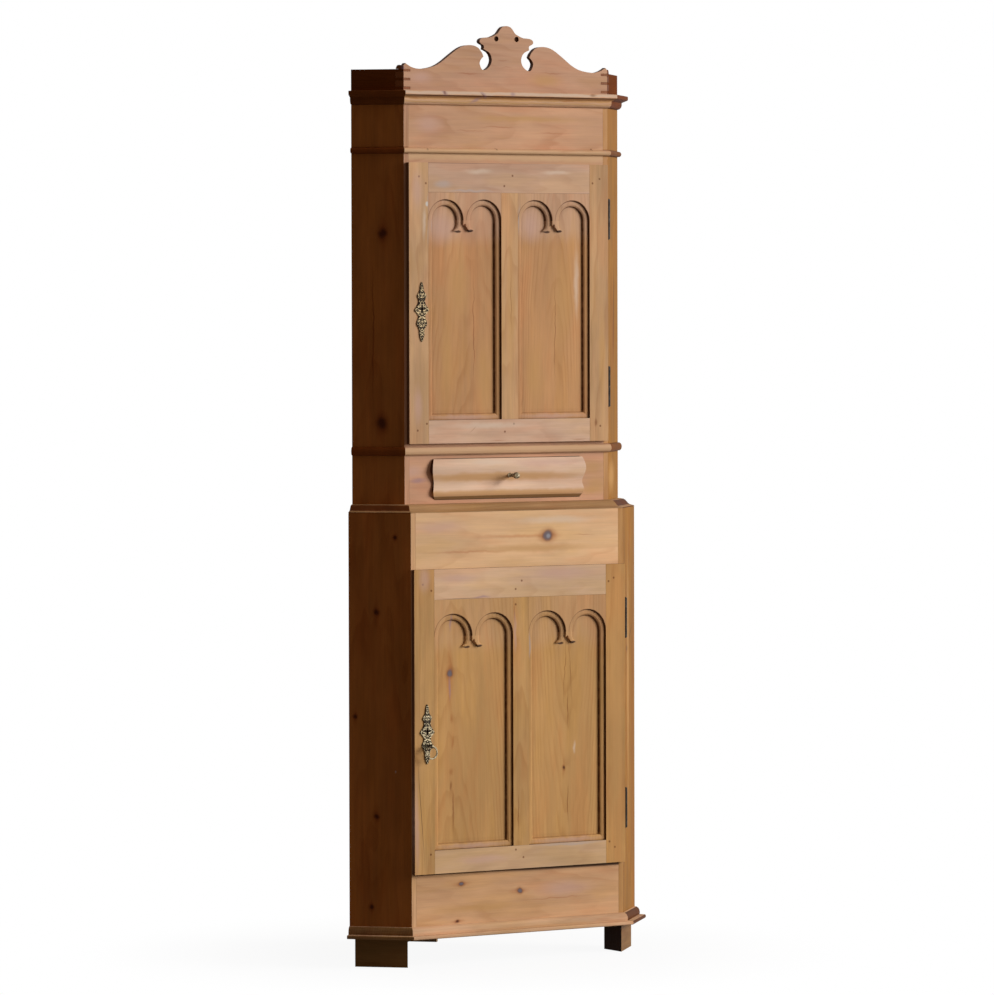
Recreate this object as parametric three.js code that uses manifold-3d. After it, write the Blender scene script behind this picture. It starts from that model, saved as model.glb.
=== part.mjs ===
// Corner cupboard in two stages, made of stripped pine with brass fittings.
// The two backs meet at a right angle in the room's corner, a short return stands square
// to each wall, and the front closes the corner at 45 degrees to the walls.
// Millimetres, +Z up, the front faces -Y. Every stage is drawn from the middle of its own
// front edge, and the whole cupboard is then moved so that the origin is the middle of its
// footprint on the floor.
import * as THREE from 'three';
import { mergeVertices } from 'three/addons/utils/BufferGeometryUtils.js';
import Module from 'manifold-3d';

const wasm = await Module();
wasm.setup();

// Clearances
const seatGap = 0.3; // between two pieces that touch, rest or are glued
const runningGap = 1; // round what slides or swings
const overrun = 6; // how far a cutter runs past the wood
const fuseDepth = 1.5; // how far two shapes of one piece run into each other
const weldDistance = 1e-4; // points nearer than this are one

// Plan of the two stages: the upper one is narrower and shallower by these steps
const lowerFrontWidth = 545;
const lowerReturnLength = 136.5;
const frontWidthStep = 21;
const returnLengthStep = 21.5;

// Boards
const returnThickness = 18;
const backThickness = 14;
const frontThickness = 18;
const shelfThickness = 18;
const topPlateThickness = 18;
const housingDepth = 5; // how deep a shelf is let into the boards round it
const cornerReveal = 12; // edge of the return that shows beside a front board
const shelfSetback = 28; // from the front plane to the front edge of a shelf

// Heights of the lower stage, from the floor up
const footHeight = 62;
const baseMouldingHeight = 25.5;
const plinthHeight = 112;
const lowerDoorHeight = 651;
const lowerFriezeHeight = 120.5;

// Heights of the upper stage, from the top of the lower stage up
const waistMouldingHeight = 17.6;
const stripBelowDrawer = 8.4;
const drawerFrontHeight = 86.9;
const stripAboveDrawer = 7.9;
const waistBeadHeight = 18;
const stripBelowUpperDoor = 6.5;
const upperDoorHeight = 600.5;
const stripAboveUpperDoor = 20;
const friezeBeadHeight = 12;
const upperFriezeHeight = 91;
const corniceHeight = 29.5;
const crestingHeight = 143;

// Mouldings, as they stand out from the board that carries them
const baseMouldingProjection = 25;
const beadProjection = 9;
const corniceProjection = 24;

// Cresting and gallery
const galleryThickness = 12;
const gallerySideHeight = 45.5;
const galleryPinCount = 3;
const galleryPinHeight = 5;
const galleryPinInset = 3; // from the top board to the lowest pin
const galleryHousingDepth = 3; // how deep gallery and cresting are let into the top board
const crestEyeRadius = 5.7;
const crestEyeDepth = 8; // of the two blind holes

// Feet
const footLength = 126;
const footThickness = 47.5;
const footInset = 6;
const footStart = 3.2; // beyond the front's edges, across
const rearLegWidth = 62;

// Doors
const upperDoorInset = 6; // from the stage's front corners
const lowerDoorInset = 1.5;
const doorProud = 11; // how far the lip stands in front of the stage
const doorBackDepth = 13; // how far the rebated back reaches into the opening
const doorLipOverlap = 10; // over the boards above and below the opening
const upperStileWidth = 48.5;
const lowerStileWidth = 50;
const upperMuntinWidth = 42.5;
const lowerMuntinWidth = 40;
const upperTopRailHeight = 63;
const lowerTopRailHeight = 65;
const bottomRailHeight = 50;
const railTenonWall = 3.5; // left between a rail's tenon and the door's rebated edge
const muntinTenonLength = 26;
const tenonThickness = 8;
const railTenonShoulder = 14; // above and below a rail's tenon, deeper than lip and groove
const muntinTenonShoulder = 10;
const panelThickness = 8;
const panelGrooveDepth = 9;
const panelRecess = 10.5; // from the front of the frame to the face of the panel

// Arched heads inside the doors
const upperSpandrelHeight = 15; // from the rail to the crown of the arches
const lowerSpandrelHeight = 31;
const archBandWidth = 13; // moulding that follows the arches, sides and foot
const pendantNeckWidth = 8;
const pendantFootWidth = 54;
const pendantDrop = 22.5;
const pendantNotchWidth = 28; // between the two feet of a pendant
const pendantNotchHeight = 16;

// Drawer
const drawerFrontWidth = 373;
const drawerSideDrop = 12; // from the top of the drawer's front to the top of its sides
const drawerFrontThickness = 18; // behind the stage's front plane
const drawerBulge = 11; // of the serpentine front, before the stage's front plane
const drawerSideThickness = 10;
const drawerDepth = 186; // from the stage's front plane to the back of the drawer
const drawerBottomThickness = 7;
const drawerGrooveDepth = 5;
const drawerBottomRise = 8;
const drawerTailCount = 3;
const drawerLap = 6; // of the half blind dovetails, left in front of the tails
const knobRadius = 7;
const knobLength = 36;
const knobTenonRadius = 3.5;
const knobTenonEnd = 12; // behind the stage's front plane

// Hinges: lift off hinges, the lower half with the pin sits on the cupboard
const hingeHeight = 89;
const hingeRadius = 4.3;
const hingePinRadius = 2.2;
const hingePinLength = 30;
const hingeBoreClearance = 0.3;
const hingeLeafThickness = 2;
const hingeLeafWidth = 19;
const hingeLeafHeight = 36;
const hingeInset = 118; // from the end of the door to the middle of the hinge

// Locks and their plates
const lockPlateHeight = 128;
const lockPlateWidth = 36;
const lockPlateThickness = 2;
const keyholeRadius = 2.7;
const keyholeSlotWidth = 2.8;
const keyholeSlotDrop = 9;
const keyholeBelowPlateTop = 57;
const pullBelowKeyhole = 32;
const upperKeyholeHeight = 289; // above the bottom of the upper door
const lowerKeyholeHeight = 307;
const keyholeFromDoorEdge = 31;
const lockCaseWidth = 46;
const lockCaseHeight = 84;
const lockCaseThickness = 14;
const lockCaseWall = 2;
const boltThickness = 6;
const boltHeight = 18;
const boltLength = 34;
const boltThrow = 9;
const boltRetraction = 1; // of the bolt's nose behind the edge of the door's back
const keeperMargin = 9; // wood above and below the bolt's mortise

// Ring pull of the lower door
const ringRadius = 13; // to the middle of its wire
const ringWireRadius = 2;
const pullPostRadius = 4.6;
const pullPostReach = 19.5; // from the door's front to the eye
const pullEyeRadius = 2.6;
const pullEyeThickness = 5;
const emptyPostHoleRadius = 1.3; // in the upper plate, which has no ring

// Facets
const turnedSides = 20;
const ringSides = 10;
const ringSteps = 28;
const archSteps = 20; // of one half round arch

// Sections of the mouldings, as shares of projection and height
const baseSectionShares = [[0.93, 0], [1, 0.07], [1, 0.22], [0.93, 0.3], [0.44, 0.32], [0.46, 0.5],
  [0.42, 0.7], [0.32, 0.87], [0.15, 0.97], [0, 1]];
const corniceSectionShares = [[0, 0], [0.24, 0.07], [0.37, 0.19], [0.42, 0.34], [0.42, 0.52], [0.95, 0.69],
  [1, 0.73], [1, 0.955], [0.93, 1]];
const beadSectionShares = [[0, 0], [0.55, 0.03], [0.85, 0.18], [1, 0.42], [0.97, 0.66], [0.75, 0.88],
  [0.4, 0.98], [0, 1]];
const beadRootShare = 0.12; // of its height, left free above and below the root that joins it to its board
// Waist moulding: shares of the step between the stages, from the lower face inwards, and of height
const waistSectionShares = [[0, 0.08], [-0.14, 0.16], [-0.26, 0.25], [-0.33, 0.36], [-0.4, 0.55],
  [-0.47, 0.74], [-0.58, 0.9], [-0.76, 0.97], [-1.1, 1]];
// Serpentine drawer front: shares of bulge and height, from the foot up
const drawerSectionShares = [[0.05, 0], [0.5, 0.09], [0.63, 0.13], [0.69, 0.18], [0.66, 0.23], [0.55, 0.29],
  [0.45, 0.34], [0.42, 0.39], [0.47, 0.45], [0.64, 0.52], [0.84, 0.6], [0.97, 0.68], [1, 0.74],
  [0.94, 0.81], [0.77, 0.89], [0.58, 0.96], [0.42, 1]];

// Moulding inside the doors: shares of its band and of the recess
const archSectionShares = [[0, 0.24], [0.08, 0.42], [0.3, 0.56], [0.65, 0.6], [1, 0.56]];
// Waist of a pendant: share of its drop, and how far it bends out on the way to the tip
const pendantWaistShare = 0.42;
const pendantBendShare = 0.22;

// Bevel at the ends of a hinge: share of its radius
const hingeTipShare = 0.45;
// Width of the dovetails at neck and nose: shares of their pitch
const tailNarrowShare = 0.42;
const tailWideShare = 0.66;

// Right half of the lock plate's outline, from the tip down: shares of half width and height
const lockPlateShares = [[0, 1], [0.12, 0.965], [0.2, 0.915], [0.27, 0.85], [0.5, 0.8], [0.62, 0.76],
  [0.46, 0.715], [0.43, 0.665], [0.56, 0.615], [0.82, 0.565], [1, 0.525], [0.74, 0.49], [0.5, 0.45],
  [0.46, 0.4], [0.64, 0.35], [0.7, 0.29], [0.53, 0.25], [0.34, 0.2], [0.33, 0.13], [0.26, 0.08],
  [0.14, 0.03], [0, 0]];
// The ring's post: shares of its radius and of its stem, from the plate out
const postShares = [[1.2, 0.12], [0.62, 0.3], [0.55, 1]];

// Turned knob: shares of its radius and length, from the seat out
const knobShares = [[0.7, 0], [0.7, 0.1], [0.5, 0.14], [0.42, 0.3], [0.62, 0.38], [0.42, 0.46], [0.5, 0.56],
  [0.88, 0.66], [1, 0.8], [0.86, 0.93], [0.5, 1], [0, 1]];
const knobHeightShare = 0.57; // of the drawer's front
const knobSeatShare = 0.6; // of the bulge

// Right half of the cresting's outline from the middle outwards, in smooth runs between its
// sharp points: shares of half the front width and of the cresting's height
const crestRunShares = [
  [[0, 1], [0.035, 0.988], [0.062, 0.945], [0.085, 0.888], [0.13, 0.845], [0.17, 0.822], [0.22, 0.818],
    [0.253, 0.797], [0.264, 0.762], [0.254, 0.73], [0.226, 0.708]],
  [[0.226, 0.708], [0.219, 0.675], [0.226, 0.646]],
  [[0.226, 0.646], [0.17, 0.596], [0.146, 0.518], [0.147, 0.45], [0.166, 0.385], [0.205, 0.335],
    [0.24, 0.338], [0.262, 0.42], [0.254, 0.48], [0.226, 0.533]],
  [[0.226, 0.533], [0.24, 0.59], [0.274, 0.66]],
  [[0.274, 0.66], [0.31, 0.69], [0.361, 0.7], [0.418, 0.685], [0.475, 0.64], [0.56, 0.535], [0.645, 0.425],
    [0.73, 0.357], [0.843, 0.327], [0.914, 0.345], [0.96, 0.383], [0.98, 0.408]],
];
const crestRunSteps = [16, 3, 20, 4, 26];
// The rest of it, on the mitred end: shares of the board's thickness and of the height
const crestEndShares = [[0, 0.37], [0.12, 0.36], [0.3, 0.371], [0.48, 0.381], [0.74, 0.372], [1, 0.335]];
const crestEyeShares = [0.099, 0.803];

const WOOD_FACE = new THREE.MeshStandardMaterial({ color: 0xc89f6f, roughness: 0.62, metalness: 0 });
const WOOD_PANEL = new THREE.MeshStandardMaterial({ color: 0xb98a57, roughness: 0.6, metalness: 0 });
const WOOD_MOULDING = new THREE.MeshStandardMaterial({ color: 0xae7d4d, roughness: 0.58, metalness: 0 });
const WOOD_INSIDE = new THREE.MeshStandardMaterial({ color: 0xb08a5e, roughness: 0.75, metalness: 0 });
const BRASS = new THREE.MeshStandardMaterial({ color: 0x8f8358, roughness: 0.42, metalness: 0.9 });
const IRON = new THREE.MeshStandardMaterial({ color: 0x4a4540, roughness: 0.55, metalness: 0.85 });

const { SQRT2 } = Math;

// Shapes and solids

// Turns a closed geometry into a solid that can be cut and joined
function solidOf(geometry) {
  const bare = geometry.index ? geometry.clone() : geometry;
  bare.deleteAttribute('normal');
  bare.deleteAttribute('uv');
  const merged = mergeVertices(bare, weldDistance);
  return new wasm.Manifold(new wasm.Mesh({
    numProp: 3,
    vertProperties: new Float32Array(merged.attributes.position.array),
    triVerts: new Uint32Array(merged.index.array),
  }));
}

// Places a solid in the scene as one named piece
function piece(name, solid, material, parent) {
  const { vertProperties, triVerts, numProp } = solid.getMesh();
  const positions = new Float32Array(vertProperties.length / numProp * 3);
  for (let i = 0; i < positions.length / 3; i += 1) {
    for (let axis = 0; axis < 3; axis += 1) positions[3 * i + axis] = vertProperties[numProp * i + axis];
  }
  const geometry = new THREE.BufferGeometry();
  geometry.setAttribute('position', new THREE.BufferAttribute(positions, 3));
  geometry.setIndex(new THREE.BufferAttribute(new Uint32Array(triVerts), 1));
  geometry.computeVertexNormals();
  const mesh = new THREE.Mesh(geometry, material);
  mesh.name = name;
  parent.add(mesh);
  return mesh;
}

const joined = (...solids) => solids.reduce((whole, next) => whole.add(next));
const cut = (solid, ...cutters) => cutters.reduce((whole, next) => whole.subtract(next), solid);
const mirrored = (points) => points.map(([x, y]) => [-x, y]);

// A block between two opposite corners
function block([x0, y0, z0], [x1, y1, z1]) {
  const geometry = new THREE.BoxGeometry(x1 - x0, y1 - y0, z1 - z0);
  geometry.translate((x0 + x1) / 2, (y0 + y1) / 2, (z0 + z1) / 2);
  return solidOf(geometry);
}

function shapeOf(points) {
  return new THREE.Shape(points.map(([x, y]) => new THREE.Vector2(x, y)));
}

// A board whose outline is drawn in plan
function planSolid(points, bottom, top) {
  const geometry = new THREE.ExtrudeGeometry(shapeOf(points), { depth: top - bottom, bevelEnabled: false });
  geometry.translate(0, 0, bottom);
  return solidOf(geometry);
}

// A board whose outline is drawn as seen from the front, between two depths
function frontSolid(points, front, back) {
  const geometry = new THREE.ExtrudeGeometry(shapeOf(points), { depth: back - front, bevelEnabled: false });
  geometry.rotateX(Math.PI / 2);
  geometry.translate(0, back, 0);
  return solidOf(geometry);
}

// A length of moulding along X whose section is drawn in Y and Z
function crossSolid(section, left, right) {
  const geometry = new THREE.ExtrudeGeometry(shapeOf(section), { depth: right - left, bevelEnabled: false });
  const toRow = new THREE.Matrix4().makeBasis(
    new THREE.Vector3(0, 1, 0),
    new THREE.Vector3(0, 0, 1),
    new THREE.Vector3(1, 0, 0),
  );
  geometry.applyMatrix4(toRow);
  geometry.translate(left, 0, 0);
  return solidOf(geometry);
}

// A turned piece from its half section [radius, height]
function turnedSolid(section, sides = turnedSides) {
  const geometry = new THREE.LatheGeometry(section.map(([r, z]) => new THREE.Vector2(r, z)), sides);
  return solidOf(geometry.rotateX(Math.PI / 2));
}

// Where a path's left hand offset lies at each of its points, with mitred turns
function offsetDirections(path) {
  const normals = [];
  for (let i = 1; i < path.length; i += 1) {
    const dx = path[i][0] - path[i - 1][0];
    const dy = path[i][1] - path[i - 1][1];
    const length = Math.hypot(dx, dy);
    normals.push([-dy / length, dx / length]);
  }
  return path.map((_, i) => {
    const before = normals[Math.max(i - 1, 0)];
    const after = normals[Math.min(i, normals.length - 1)];
    const spread = 1 + before[0] * after[0] + before[1] * after[1];
    return [(before[0] + after[0]) / spread, (before[1] + after[1]) / spread];
  });
}

function offsetPath(path, distance) {
  const directions = offsetDirections(path);
  return path.map(([x, y], i) => [x + directions[i][0] * distance, y + directions[i][1] * distance]);
}

// One moulding with mitred corners: section points are [distance to the path's left, height]
function mitredRun(path, section) {
  const rings = offsetDirections(path).map(([mx, my], i) => section.map(([offset, rise]) => [
    path[i][0] + mx * offset, path[i][1] + my * offset, rise]));
  const positions = rings.flat(2);
  const count = section.length;
  const faces = [];
  for (let ring = 0; ring < rings.length - 1; ring += 1) {
    for (let i = 0; i < count; i += 1) {
      const a = ring * count + i;
      const b = ring * count + (i + 1) % count;
      faces.push([a, b, b + count], [a, b + count, a + count]);
    }
  }
  const contour = section.map(([offset, rise]) => new THREE.Vector2(offset, rise));
  const lastRing = (rings.length - 1) * count;
  const caps = THREE.ShapeUtils.triangulateShape(contour, []);
  const area = (corners) => THREE.ShapeUtils.area(corners.map((i) => contour[i]));
  const alike = caps.reduce((sum, cap) => sum + area(cap), 0) * THREE.ShapeUtils.area(contour) > 0;
  for (const [a, b, c] of caps) {
    const end = alike ? [a, b, c] : [a, c, b];
    faces.push([...end].reverse(), end.map((corner) => corner + lastRing));
  }
  return solidOf(outwardGeometry(positions, faces));
}

// Builds a geometry and turns its faces outwards if they all point in
function outwardGeometry(positions, faces) {
  const at = (i) => new THREE.Vector3(positions[3 * i], positions[3 * i + 1], positions[3 * i + 2]);
  let volume = 0;
  for (const [a, b, c] of faces) volume += at(a).dot(at(b).cross(at(c)));
  const wound = volume < 0 ? faces.map(([a, b, c]) => [a, c, b]) : faces;
  const geometry = new THREE.BufferGeometry();
  geometry.setAttribute('position', new THREE.Float32BufferAttribute(positions, 3));
  geometry.setIndex(wound.flat());
  return geometry;
}

// A smooth run through points, sampled in equal steps
function smoothRun(points, steps) {
  const curve = new THREE.SplineCurve(points.map(([x, y]) => new THREE.Vector2(x, y)));
  return curve.getPoints(steps).map((point) => [point.x, point.y]);
}

function arcRun([cx, cy], radius, startAngle, endAngle, steps) {
  return Array.from({ length: steps + 1 }, (_, i) => {
    const angle = startAngle + (endAngle - startAngle) * i / steps;
    return [cx + radius * Math.cos(angle), cy + radius * Math.sin(angle)];
  });
}

const scaled = (shares, width, height) => shares.map(([across, up]) => [across * width, up * height]);

// Plan of a stage
// A place is given by its distance from the middle line square to the right return (outwards)
// and by its distance towards the right wall.
const inPlan = (toReturn, toWall) => [(toReturn + toWall) / SQRT2, (toWall - toReturn) / SQRT2];

function makePlan(frontWidth, returnLength) {
  const returnFace = frontWidth / 2 / SQRT2;
  const wallFace = returnFace + returnLength;
  return { frontWidth, returnFace, wallFace, depth: wallFace * SQRT2 };
}

// The stage's outline, drawn in from its front, its returns and its walls
function outline(plan, { front, side, back }) {
  const sideLine = plan.returnFace - side;
  const wallLine = plan.wallFace - back;
  const right = [[front + sideLine * SQRT2, front], inPlan(sideLine, wallLine)];
  return [...right, inPlan(-wallLine, wallLine), ...mirrored(right).reverse()];
}

// The way round the front that a moulding takes, from the right wall to the left wall
function frontRun(plan) {
  const rightFront = [plan.frontWidth / 2, 0];
  const rightRear = inPlan(plan.returnFace, plan.wallFace);
  return [rightRear, rightFront, ...mirrored([rightFront, rightRear])];
}

const openingHalf = (plan) => plan.frontWidth / 2 - returnThickness * SQRT2;

// Boards of a stage

function returnOutline(plan) {
  const inner = plan.returnFace - returnThickness;
  return [[plan.frontWidth / 2, 0], inPlan(plan.returnFace, plan.wallFace),
    inPlan(inner, plan.wallFace), [inner * SQRT2, 0]];
}

// One back board on the right wall, from the room's corner to the return
function backOutline(plan, cornerStart, sideEnd) {
  return [inPlan(cornerStart, plan.wallFace - backThickness), inPlan(sideEnd, plan.wallFace - backThickness),
    inPlan(sideEnd, plan.wallFace), inPlan(cornerStart, plan.wallFace)];
}

function backSpan(plan, coversCorner) {
  const start = -plan.wallFace + (coversCorner ? 0 : backThickness + seatGap);
  return [start, plan.returnFace - returnThickness - seatGap];
}

// A level board let into the returns and backs, and the housing that takes it
function levelBoard(plan, front, bottom, thickness) {
  const housed = { front, side: returnThickness - housingDepth, back: backThickness - housingDepth };
  const board = { front, side: housed.side + seatGap, back: housed.back + seatGap };
  return {
    board: planSolid(outline(plan, board), bottom, bottom + thickness),
    housing: planSolid(outline(plan, { ...housed, front: front - seatGap }),
      bottom - seatGap, bottom + thickness + seatGap),
  };
}

const frontBoardHalf = (plan) => plan.frontWidth / 2 - cornerReveal;

function frontBoard(plan, bottom, top) {
  const half = frontBoardHalf(plan);
  return block([-half, 0, bottom], [half, frontThickness, top]);
}

// The rebate in the returns' front edges that takes a front board
function frontRebate(plan, bottom, top) {
  const half = frontBoardHalf(plan) + seatGap;
  return block([-half, -overrun, bottom - seatGap], [half, frontThickness + seatGap, top + seatGap]);
}

// A moulding planted round the front of a stage, with its corners mitred. Its back lies at
// inner: a gap in front of the boards, or inside the board that it is worked on.
function plantedRun(plan, sectionShares, projection, height, bottom, inner) {
  const start = Math.max(inner, 0);
  const face = scaled(sectionShares, projection - start, height)
    .map(([out, up]) => [start + out, bottom + up]);
  const section = [...face];
  if (face[0][0] > inner) section.unshift([inner, bottom]);
  if (face[face.length - 1][0] > inner) section.push([inner, bottom + height]);
  return mitredRun(frontRun(plan), section);
}

// One bead round the front of a stage, parted at its mitres: the front length is worked on
// the front board and each side length on a return, and only a gap parts it from the others
function beadParts(plan, height, bottom) {
  const run = plantedRun(plan, beadSectionShares, beadProjection, height, bottom, seatGap);
  const corner = plan.frontWidth / 2;
  const reach = beadProjection + overrun;
  const [mitreX, mitreY] = offsetDirections(frontRun(plan))[1].map((part) => part * reach);
  const half = [[corner - seatGap / 2, 0], [corner - seatGap / 2 + mitreX, mitreY]];
  const frontPart = planSolid([...half, ...mirrored(half).reverse()],
    bottom - overrun, bottom + height + overrun);
  const sidePart = planSolid([[corner + seatGap / 2, 0], [corner + seatGap / 2 + mitreX, mitreY],
    [corner + plan.depth, mitreY], [corner + plan.depth, plan.depth]],
    bottom - overrun, bottom + height + overrun);
  const low = bottom + height * beadRootShare;
  const high = bottom + height * (1 - beadRootShare);
  const boardHalf = frontBoardHalf(plan);
  const frontRoot = block([-boardHalf, -seatGap - fuseDepth, low], [boardHalf, fuseDepth, high]);
  const face = plan.returnFace;
  const [out, deep] = [face - fuseDepth, face + seatGap + fuseDepth];
  const sideRoot = planSolid([inPlan(out, face + reach), inPlan(deep, face + reach),
    inPlan(deep, plan.wallFace), inPlan(out, plan.wallFace)], low, high);
  return {
    front: joined(run.intersect(frontPart), frontRoot),
    side: joined(run.intersect(sidePart), sideRoot)
  };
}

// Two returns and two backs, cut for all that is let into them
function carcass(stage, plan, prefix, { bottom, top, housings, returnCuts, rearLeg, beads, keeper }) {
  const right = returnOutline(plan);
  for (const side of ['right', 'left']) {
    const blank = joined(planSolid(right, bottom, top), ...beads.map((bead) => bead.side));
    const board = side === 'left' ? joined(blank.mirror([1, 0, 0]), keeper) : blank;
    piece(`${prefix}_return_${side}`, cut(board, ...housings, ...returnCuts), WOOD_FACE, stage);
  }
  for (const [side, coversCorner, turn] of [['right', false, (points) => points], ['left', true, mirrored]]) {
    const [start, end] = backSpan(plan, coversCorner);
    let board = planSolid(turn(backOutline(plan, start, end)), bottom, top);
    if (rearLeg > 0) {
      const leg = backOutline(plan, start, start + rearLegWidth);
      board = joined(board, planSolid(turn(leg), bottom - rearLeg, bottom + fuseDepth));
    }
    piece(`${prefix}_back_${side}`, cut(board, ...housings), WOOD_INSIDE, stage);
  }
}

// Panelled doors

// The inner edge of the moulding in one half of an opening, from the pendant round to the foot
function archHalfPath(opening) {
  const half = opening.width / 2 - seatGap;
  const neck = pendantNeckWidth / 2;
  const outerRadius = (half - neck) / 2;
  const springing = opening.top - seatGap - opening.spandrel - outerRadius;
  const footTip = [pendantFootWidth / 2, springing - pendantDrop];
  const waist = [neck + archBandWidth, springing - pendantDrop * pendantWaistShare];
  const bend = [waist[0] + (footTip[0] - waist[0]) * pendantBendShare, (waist[1] + footTip[1]) / 2];
  const sweep = arcRun([neck + outerRadius, springing], outerRadius - archBandWidth, Math.PI, 0, archSteps);
  const foot = opening.bottom + seatGap + archBandWidth;
  return {
    path: [footTip, bend, waist, ...sweep, [half - archBandWidth, foot], [0, foot]],
    footLevel: footTip[1], archMiddle: neck + outerRadius, half,
  };
}

// A panel with its arched head and mouldings planted on it
function archedPanel(opening, panelFront) {
  const { path, footLevel, archMiddle, half } = archHalfPath(opening);
  const frameFront = panelFront - panelRecess;
  const section = [[0, fuseDepth], ...archSectionShares.map(([across, up]) => [
    across * archBandWidth, -up * panelRecess]), [archBandWidth, fuseDepth]];
  const head = offsetPath(path, archBandWidth);
  const shoulder = head.slice(0, -2);
  const spandrelTop = opening.top - seatGap;
  const spandrel = [[0, footLevel - archBandWidth], ...shoulder, [half, spandrelTop], [0, spandrelTop]];
  const halves = [];
  for (const turn of [(points) => points, mirrored]) {
    const run = turn === mirrored ? mirrored(path).reverse() : path;
    const moulding = mitredRun(run, section).rotate([90, 0, 0]).scale([1, -1, 1]);
    halves.push(moulding.translate([0, panelFront, 0]));
    halves.push(frontSolid(turn(spandrel), frameFront, panelFront + fuseDepth));
  }
  const underPendant = block([-archMiddle, frameFront - overrun, footLevel - archMiddle],
    [archMiddle, panelFront + fuseDepth + overrun, footLevel]);
  const notch = frontSolid([[-pendantNotchWidth, footLevel - pendantNotchHeight],
    [pendantNotchWidth, footLevel - pendantNotchHeight], [0, footLevel + pendantNotchHeight]],
  frameFront - overrun, panelFront + fuseDepth + overrun);
  const spread = panelGrooveDepth - runningGap;
  const board = block([-opening.width / 2 - spread, panelFront, opening.bottom - spread],
    [opening.width / 2 + spread, panelFront + panelThickness, opening.top + spread]);
  return joined(board, cut(joined(...halves), underPendant, notch));
}

// The frame of a door: its face laps over the stage, its back drops into the opening
function doorBlank(door) {
  const face = block([-door.half, -doorProud, door.bottom], [door.half, -seatGap, door.top]);
  const inner = door.openingHalf - runningGap;
  const rise = doorLipOverlap + runningGap;
  const back = block([-inner, -seatGap - fuseDepth, door.bottom + rise],
    [inner, doorBackDepth, door.top - rise]);
  return joined(face, back);
}

function doorSizes(plan, bottom, { height, inset, stileWidth, muntinWidth, topRailHeight, spandrel }) {
  const half = plan.frontWidth / 2 - inset;
  const top = bottom + height;
  const width = half - stileWidth - muntinWidth / 2;
  return {
    half, bottom, top, stileWidth, muntinWidth, openingHalf: openingHalf(plan),
    middle: muntinWidth / 2 + width / 2,
    opening: { width, bottom: bottom + bottomRailHeight, top: top - topRailHeight, spandrel },
  };
}

// A tenon across a joint, its middle at the given place, thicker all round by grow
function tenon([x0, z0], [x1, z1], grow) {
  const middle = (doorBackDepth - doorProud) / 2;
  return block([x0 - grow, middle - tenonThickness / 2 - grow, z0 - grow],
    [x1 + grow, middle + tenonThickness / 2 + grow, z1 + grow]);
}

function railTenons(door, bottom, top, grow) {
  const shoulder = door.half - door.stileWidth;
  const reach = door.openingHalf - runningGap - railTenonWall;
  return [-1, 1].map((side) => {
    const ends = [side * (shoulder - fuseDepth), side * reach].sort((a, b) => a - b);
    return tenon([ends[0], bottom + railTenonShoulder], [ends[1], top - railTenonShoulder], grow);
  });
}

function muntinTenons(door, grow) {
  const { bottom, top } = door.opening;
  const reach = door.muntinWidth / 2 - muntinTenonShoulder;
  return [[bottom - muntinTenonLength, bottom + fuseDepth], [top - fuseDepth, top + muntinTenonLength]].map(
    ([z0, z1]) => tenon([-reach, z0], [reach, z1], grow));
}

function panelGrooves(door, panelFront) {
  const { width, bottom, top } = door.opening;
  return [-1, 1].map((side) => {
    const middle = side * door.middle;
    return block(
      [middle - width / 2 - panelGrooveDepth, panelFront - seatGap, bottom - panelGrooveDepth],
      [middle + width / 2 + panelGrooveDepth, panelFront + panelThickness + seatGap, top + panelGrooveDepth]);
  });
}

function doorFrame(group, door, prefix, keyhole, hingeMortises) {
  const blank = doorBlank(door);
  const { bottom, top } = door.opening;
  const inner = door.half - door.stileWidth;
  const far = door.half + overrun;
  const depth = [-doorProud - overrun, doorBackDepth + overrun];
  const band = (x0, x1, z0, z1) => blank.intersect(block([x0, depth[0], z0], [x1, depth[1], z1]));
  const panelFront = panelRecess - doorProud;
  const grooves = panelGrooves(door, panelFront);
  const bottomRail = [door.bottom, bottom];
  const topRail = [top, door.top];
  const mortises = [...railTenons(door, ...bottomRail, seatGap), ...railTenons(door, ...topRail, seatGap)];
  const shut = band(-far, -inner, door.bottom - overrun, door.top + overrun);
  piece(`${prefix}_stile_lock`, cut(shut, ...mortises, ...grooves, keyhole), WOOD_FACE, group);
  const hung = band(inner, far, door.bottom - overrun, door.top + overrun);
  piece(`${prefix}_stile_hinge`, cut(hung, ...mortises, ...grooves, ...hingeMortises), WOOD_FACE, group);
  const railEnd = inner - seatGap;
  const muntinMortises = muntinTenons(door, seatGap);
  for (const [name, [z0, z1]] of [['rail_bottom', bottomRail], ['rail_top', topRail]]) {
    const bar = band(-railEnd, railEnd, z0, z1);
    const whole = joined(bar, ...railTenons(door, z0, z1, 0));
    piece(`${prefix}_${name}`, cut(whole, ...grooves, ...muntinMortises), WOOD_FACE, group);
  }
  const upright = band(-door.muntinWidth / 2, door.muntinWidth / 2, bottom + seatGap, top - seatGap);
  piece(`${prefix}_muntin`, cut(joined(upright, ...muntinTenons(door, 0)), ...grooves), WOOD_FACE, group);
  for (const [side, sign] of [['left', -1], ['right', 1]]) {
    const panel = archedPanel(door.opening, panelFront).translate([sign * door.middle, 0, 0]);
    piece(`${prefix}_panel_${side}`, panel, WOOD_PANEL, group);
  }
}

// Hinges

const hingeAxis = (door) => [door.half + hingeRadius + seatGap, -hingeRadius - seatGap];
const hingeBottoms = (door) => [door.bottom + hingeInset, door.top - hingeInset].map(
  (middle) => middle - hingeHeight / 2);

function leafSpan(bottom, isDoorHalf) {
  const half = hingeHeight / 2;
  const start = bottom + (isDoorHalf ? half : 0) + (half - hingeLeafHeight) / 2;
  return [start, start + hingeLeafHeight];
}

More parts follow.
